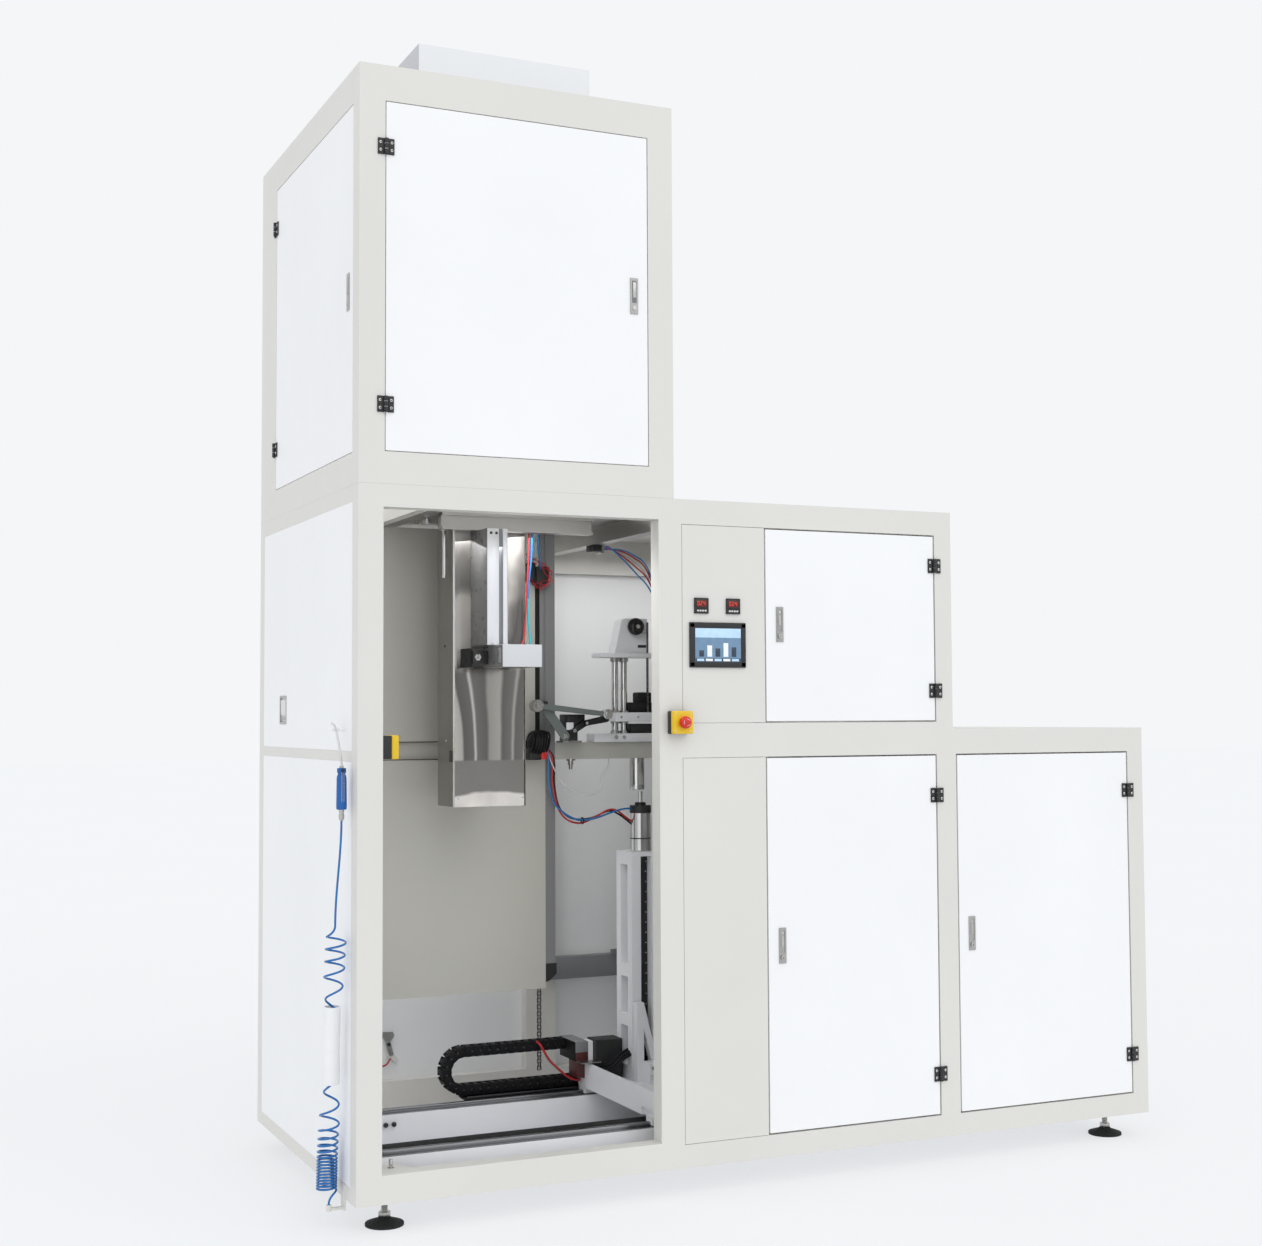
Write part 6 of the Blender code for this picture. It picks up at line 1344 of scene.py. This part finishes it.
def stop_button():
    """Second stop box on the left frame inside the bay, facing right."""
    shape = Shape()
    y, z = (0.0620, 0.1300), (1.2862, 1.3556)
    shape.box((0.0403, 0.0800), (y[0] + 0.010, y[1] - 0.010), (z[0] + 0.010, z[1] - 0.010),
              LOCK_STEEL, 0.0010)
    shape.box((0.0790, 0.1232), y, z, BLACK, 0.0030, 3)
    shape.box((0.1226, 0.1452), y, (z[0] - 0.001, z[1] + 0.001), YELLOW, 0.0035, 3)
    shape.lathe([(0, 0), (0, 0.0120), (0.0030, 0.0140), (0.0070, 0.0130), (0.0090, 0.0080),
                 (0.0090, 0)], (0.1450, 0.0960, 1.3209), (1, 0, 0), LOCK_STEEL, 24)
    for top in (1.3283, 1.2692):
        shape.box((0.0605, 0.8320), (0.6985, 0.7004), (top - 0.0024, top), DARK_STEEL, 0.0003)
    shape.done("inner_stop_box")


def corner_stud():
    """Corner gusset behind the front frame with its locating stud."""
    shape = Shape()
    shape.plate([(0.0404, 0.0590), (0.1900, 0.0590), (0.1700, 0.1080), (0.1500, 0.1480),
                 (0.0404, 0.1480)], 0.0770, 0.0820, "Z", BEIGE, 0.0008)
    shape.rod((0.1300, 0.0860, 0.0800), (0.1300, 0.0860, 0.1080), 0.0062, CHROME, 20)
    shape.lathe([(0, 0), (0, 0.0100), (0.0020, 0.0100), (0.0030, 0.0062)], (0.130, 0.086, 0.0819),
                UP, STEEL, 20)
    shape.done("corner_gusset")


# Rails, cable chain and carriage

RAIL_ENDS = (0.0403, 2.8497)
TRACK_ENDS = (0.0603, 2.8297)


def rails():
    """White beams with ground steel strips and a raised track on top."""
    for name, y, node in (("front_rail_beam", 0.150, "front_rail"),
                          ("back_rail_beam", 0.700, "back_rail")):
        shape = Shape()
        shape.box(RAIL_ENDS, (y, y + 0.080), (0.0033, 0.0979), INNER_WHITE, 0.0016)
        for low, high, finish in ((0.0012, 0.0300, RAIL_STEEL), (0.0500, 0.0788, LOCK_STEEL)):
            shape.box(RAIL_ENDS, (y + low, y + high), (0.0975, 0.0984), finish, 0.0003)
        shape.box(TRACK_ENDS, (y + 0.0300, y + 0.0500), (0.0975, 0.1100), RAIL_STEEL, 0.0010)
        shape.box(TRACK_ENDS, (y + 0.0370, y + 0.0430), (0.1094, 0.1101), DARK_STEEL, 0.0002)
        for k in range(30):
            shape.screw((0.110 + k * 0.092, y + 0.0080, 0.0983), UP, 0.0032, height=0.0008)
        if node == "back_rail":
            shape.box((0.610, 1.400), (0.7780, 0.8620), (0.0980, 0.1000), DARK_STEEL, 0.0006)
            for low in (0.7780, 0.8604):
                shape.box((0.610, 1.400), (low, low + 0.0016), (0.0990, 0.1147), DARK_STEEL, 0.0004)
            for x in (0.2980, 0.3260):
                shape.lathe([(0, 0), (0, 0.0050), (0.0030, 0.0078), (0.0080, 0.0088),
                             (0.0130, 0.0072), (0.0150, 0.0030), (0.0150, 0)],
                            (x, 0.7002, 0.0670), FRONT, GLOSS_BLACK, 20)
            shape.rod((0.2980, 0.6930, 0.0670), (0.3260, 0.6930, 0.0670), 0.0016, STEEL, 10)
        else:
            shape.box(RAIL_ENDS, (0.2302, 0.3180), (0.0860, 0.0972), RUBBER, 0.0012)
            shape.box(RAIL_ENDS, (0.2302, 0.2400), (0.0640, 0.0870), DARK_STEEL, 0.0010)
        shape.done(name, replaced=(node,))


def chain_links(shape, places):
    """Cable chain links: (middle, direction along, up)."""
    for middle, along, up in places:
        turn = Matrix((along, Vector((0, 1, 0)), up)).transposed()
        link = Shape()
        link.box((-0.0156, 0.0156), (-0.0235, 0.0235), (-0.0125, 0.0125), RUBBER, 0.0010, 1)
        for y in (-0.0250, 0.0250):
            link.box((-0.0152, 0.0152), (y - 0.0022, y + 0.0022), (-0.0172, 0.0172), CHAIN_BLACK,
                     0.0030, 3)
            link.lathe([(0, 0), (0, 0.0050), (0.0006, 0.0055), (0.0012, 0.0040), (0.0012, 0)],
                       (0.0110, y + math.copysign(0.0014, y), 0), (0, math.copysign(1, y), 0),
                       GLOSS_BLACK, 10)
        for z in (-0.0160, 0.0160):
            link.box((-0.0062, 0.0062), (-0.0262, 0.0262), (z - 0.0015, z + 0.0015), CHAIN_BLACK,
                     0.0010, 2)
        shape.add(link, turn, middle)


def cable_chain():
    """Three lengths: the lower run, the bend and the upper run."""
    y, right = 0.8225, Vector((1, 0, 0))
    bend = []
    for k in range(7):
        angle = math.pi * (k + 0.5) / 7
        out = Vector((-math.sin(angle), 0, -math.cos(angle)))
        bend.append((Vector((0.610, y, 0.1975)) + out * 0.0650,
                     Vector((math.cos(angle), 0, -math.sin(angle))), -out))
    lower = [(Vector((0.6252 + 0.0304 * k, y, 0.1325)), right, UP) for k in range(21)]
    upper = [(Vector((0.6256 + 0.0312 * k, y, 0.2625)), right, UP) for k in range(12)]
    # The bend's start and end lie far off to its sides
    for name, places, start, end in (
            ("chain_lower_run", lower, (1.250, y, 0.13), (-0.030, y, 0.13)),
            ("chain_bend", bend, (0.61, y - 50, 0.2), (0.61, y + 50, 0.2)),
            ("chain_upper_run", upper, (0.236, y, 0.26), (0.984, y, 0.26))):
        shape = Shape()
        chain_links(shape, places)
        made = shape.done(name, replaced=("energy_chain",), ride=False)
        follow_carriage(made, start, end)


def carriage_fittings():
    """End bracket of the cable chain, its cables, the lift rack and the bearing's bolts."""
    shape = Shape()
    shape.box((0.9836, 1.0305), (0.7092, 0.8506), (0.2796, 0.2818), RAIL_GREY, 0.0008)
    shape.box((0.9838, 1.0303), (0.7086, 0.7101), (0.2440, 0.2806), RAIL_GREY, 0.0005)
    shape.box((0.9840, 1.0301), (0.7080, 0.7101), (0.2150, 0.2446), OXIDE_RED, 0.0006)
    for x in (0.9832, 1.0302):
        shape.box((x, x + 0.0012), (0.7090, 0.8504), (0.2152, 0.2800), CHAIN_BLACK, 0.0003)
    shape.box((0.9900, 1.0320), (0.7120, 0.7860), (0.1560, 0.2152), OXIDE_RED, 0.0020)
    shape.box((0.9880, 1.0600), (0.6620, 0.7120), (0.2130, 0.2162), LOCK_STEEL, 0.0008)
    shape.box((1.0230, 1.0560), (0.6940, 0.7120), (0.1480, 0.2140), BLACK, 0.0015)
    shape.box((1.0310, 1.0530), (0.7120, 0.7660), (0.1480, 0.2780), BLACK, 0.0020, 3)
    for x in (0.996, 1.016):
        shape.screw((x, 0.7300, 0.2816), UP, 0.0035)
    shape.line([(0.8700, 0.790, 0.2800), (0.8800, 0.776, 0.2680), (0.8920, 0.766, 0.2420),
                (0.9060, 0.760, 0.2180), (0.9277, 0.758, 0.1954),
                (0.9727, 0.755, 0.1560), (1.0060, 0.752, 0.1420), (1.0240, 0.750, 0.1440)], 0.0042,
               TUBE_RED, 44)
    for dy, dz, r in ((0.0, 0.0, 0.0070), (0.014, 0.006, 0.0062), (-0.012, -0.005, 0.0055)):
        shape.line([(1.0560, 0.700 + dy * 0.4, 0.1900 + dz), (1.0800, 0.670 + dy, 0.1860 + dz),
                    (1.1060, 0.655 + dy, 0.2000 + dz), (1.1340, 0.650 + dy, 0.2280 + dz),
                    (1.1660, 0.655 + dy, 0.2420 + dz)], r, TUBE_BLACK)
    shape.lathe([(0, 0.0062), (0, 0.0085), (0.0010, 0.0085), (0.0010, 0.0062), (0, 0.0062)],
                (1.2060, 0.5420, 0.2020), FRONT, STEEL, 20)
    shape.lathe([(0.0004, 0), (0.0004, 0.0062), (0.0008, 0)], (1.2060, 0.5420, 0.2020),
                FRONT, BLACK, 20)
    shape.bolt((1.2030, 0.5420, 0.1720), FRONT, 0.0060)
    shape.box((1.1998, 1.2402), (0.6630, 0.6680), (0.1650, 0.9300), BLACK, 0.0010)
    shape.box((1.2150, 1.2240), (0.6600, 0.6640), (0.1650, 0.9280), DARK_STEEL, 0.0008)
    for k in range(21):
        z = 0.190 + 0.0355 * k
        shape.lathe([(0, 0), (0, 0.0030), (0.0012, 0.0026), (0.0012, 0)], (1.2340, 0.6632, z),
                    FRONT, STEEL, 12)
    for x in (1.100, 1.260, 1.320):
        for y in (0.190, 0.560):
            shape.bolt((x, y, 0.1479), UP, 0.0055)
    shape.done("carriage_fittings", "carriage")


def lift():
    """Lift cylinder: chrome barrel with a rubber ring, black collar with elbows, thin rod."""
    shape = Shape()
    at = (1.230, 0.695, 0.9354)
    shape.lathe([(0, 0), (0, 0.0350), (0.0010, 0.0360), (0.1340, 0.0360), (0.1340, 0)], at, UP,
                CHROME, 40)
    shape.lathe([(0.0425, 0.0358), (0.0430, 0.0366), (0.0460, 0.0366), (0.0465, 0.0358)], at, UP,
                RUBBER, 40)
    shape.lathe([(0.1336, 0), (0.1336, 0.0376), (0.1350, 0.0380), (0.1590, 0.0380),
                 (0.1606, 0.0370), (0.1606, 0.0200), (0.1700, 0.0190), (0.1710, 0.0170),
                 (0.1710, 0)], at, UP, BLACK, 36)
    shape.lathe([(0.1700, 0), (0.1700, 0.0085), (0.2080, 0.0085), (0.2086, 0.0078),
                 (0.2086, 0)], at, UP, CHROME, 20)
    for z in (0.096, 0.105):
        shape.rod((1.1935, 0.692, at[2] + z), (1.2100, 0.694, at[2] + z), 0.0052, LOCK_STEEL, 12)
    shape.rod((1.1930, 0.690, at[2] + 0.1506), (1.2060, 0.692, at[2] + 0.1506), 0.0055, BLACK, 12)
    shape.done("lift_cylinder_barrel", "carriage", replaced=("lift_cylinder",))


for build in (spout, clamp, ceiling_fittings, bay_tubes, post_wiring, cable_bundle, gripper, head,
              under_beam, wall_fittings, stop_button, corner_stud, rails, cable_chain,
              carriage_fittings, lift):
    build()


# Roof duct: a darker sheet over its left wall as painted shade, with a bolt at its corner

def duct_shade_sheet():
    shape = Shape()
    shape.box((0.2694, 0.2704), (0.2704, 0.8496), (3.3610, 3.5494), DUCT_LEFT_PAINTED_SHADE, 0.0003)
    shape.bolt((0.6380, 0.2698, 3.4390), FRONT, 0.0050)
    shape.done("duct_left_painted_shade_sheet")


duct_shade_sheet()


# Floor and light

def surroundings():
    bpy.ops.mesh.primitive_plane_add(size=120.0, location=(0, 0, 0))
    floor = bpy.context.object
    floor.name = "studio_floor"
    made, tree, shader = nodes_for("studio_floor")
    tree.links.new(tint(tree, noise(tree, 0.4, 2.0), (0.333, 0.336, 0.340),
                        (0.337, 0.340, 0.344)), shader.inputs["Base Color"])
    shader.inputs["Emission Color"].default_value = (0.905, 0.921, 0.939, 1)
    shader.inputs["Emission Strength"].default_value = 0.6
    shader.inputs["Roughness"].default_value = 0.95
    shader.inputs["Specular IOR Level"].default_value = 0.0
    floor.data.materials.append(made)

    world = bpy.data.worlds.new("studio_world")
    world.use_nodes = True
    world.node_tree.nodes["Background"].inputs["Color"].default_value = (0.905, 0.921, 0.939, 1)
    world.node_tree.nodes["Background"].inputs["Strength"].default_value = 1.0
    bpy.context.scene.world = world

    def sun(name, azimuth, elevation, strength, angle):
        data = bpy.data.lights.new(name, "SUN")
        data.energy = strength
        data.angle = math.radians(angle)
        lamp = bpy.data.objects.new(name, data)
        a, e = math.radians(azimuth), math.radians(elevation)
        back = Vector((math.sin(a) * math.cos(e), -math.cos(a) * math.cos(e), math.sin(e)))
        lamp.rotation_euler = (-back).to_track_quat("-Z", "Y").to_euler()
        bpy.context.scene.collection.objects.link(lamp)

    sun("studio_key", 20, 42, 0.55, 60)
    sun("studio_fill", -55, 30, 0.25, 80)

    def panel(name, place, aim, size, power):
        data = bpy.data.lights.new(name, "AREA")
        data.shape = "RECTANGLE"
        data.size, data.size_y = size
        data.energy = power
        lamp = bpy.data.objects.new(name, data)
        lamp.location = row(place)
        lamp.rotation_euler = (row(aim) - row(place)).to_track_quat("-Z", "Y").to_euler()
        lamp.visible_camera = lamp.visible_glossy = False
        bpy.context.scene.collection.objects.link(lamp)

    panel("bay_light", (0.62, 0.30, 1.98), (0.75, 0.60, 0.8), (0.5, 0.3), 4.0)
    panel("bay_front", (0.52, 0.09, 1.20), (0.52, 1.00, 1.20), (0.85, 1.70), 2.0)
    panel("back_light", (1.15, 0.90, 2.00), (1.15, 1.00, 0.0), (1.4, 0.30), 3.4)
    panel("low_light", (0.46, 0.88, 1.00), (0.46, 1.25, 0.15), (0.70, 0.20), 1.7)
    panel("tower_light", (0.45, 0.60, 3.25), (0.30, 0.60, 2.1), (0.6, 0.8), 11.0)
    bpy.context.scene.view_settings.view_transform = "Standard"


surroundings()
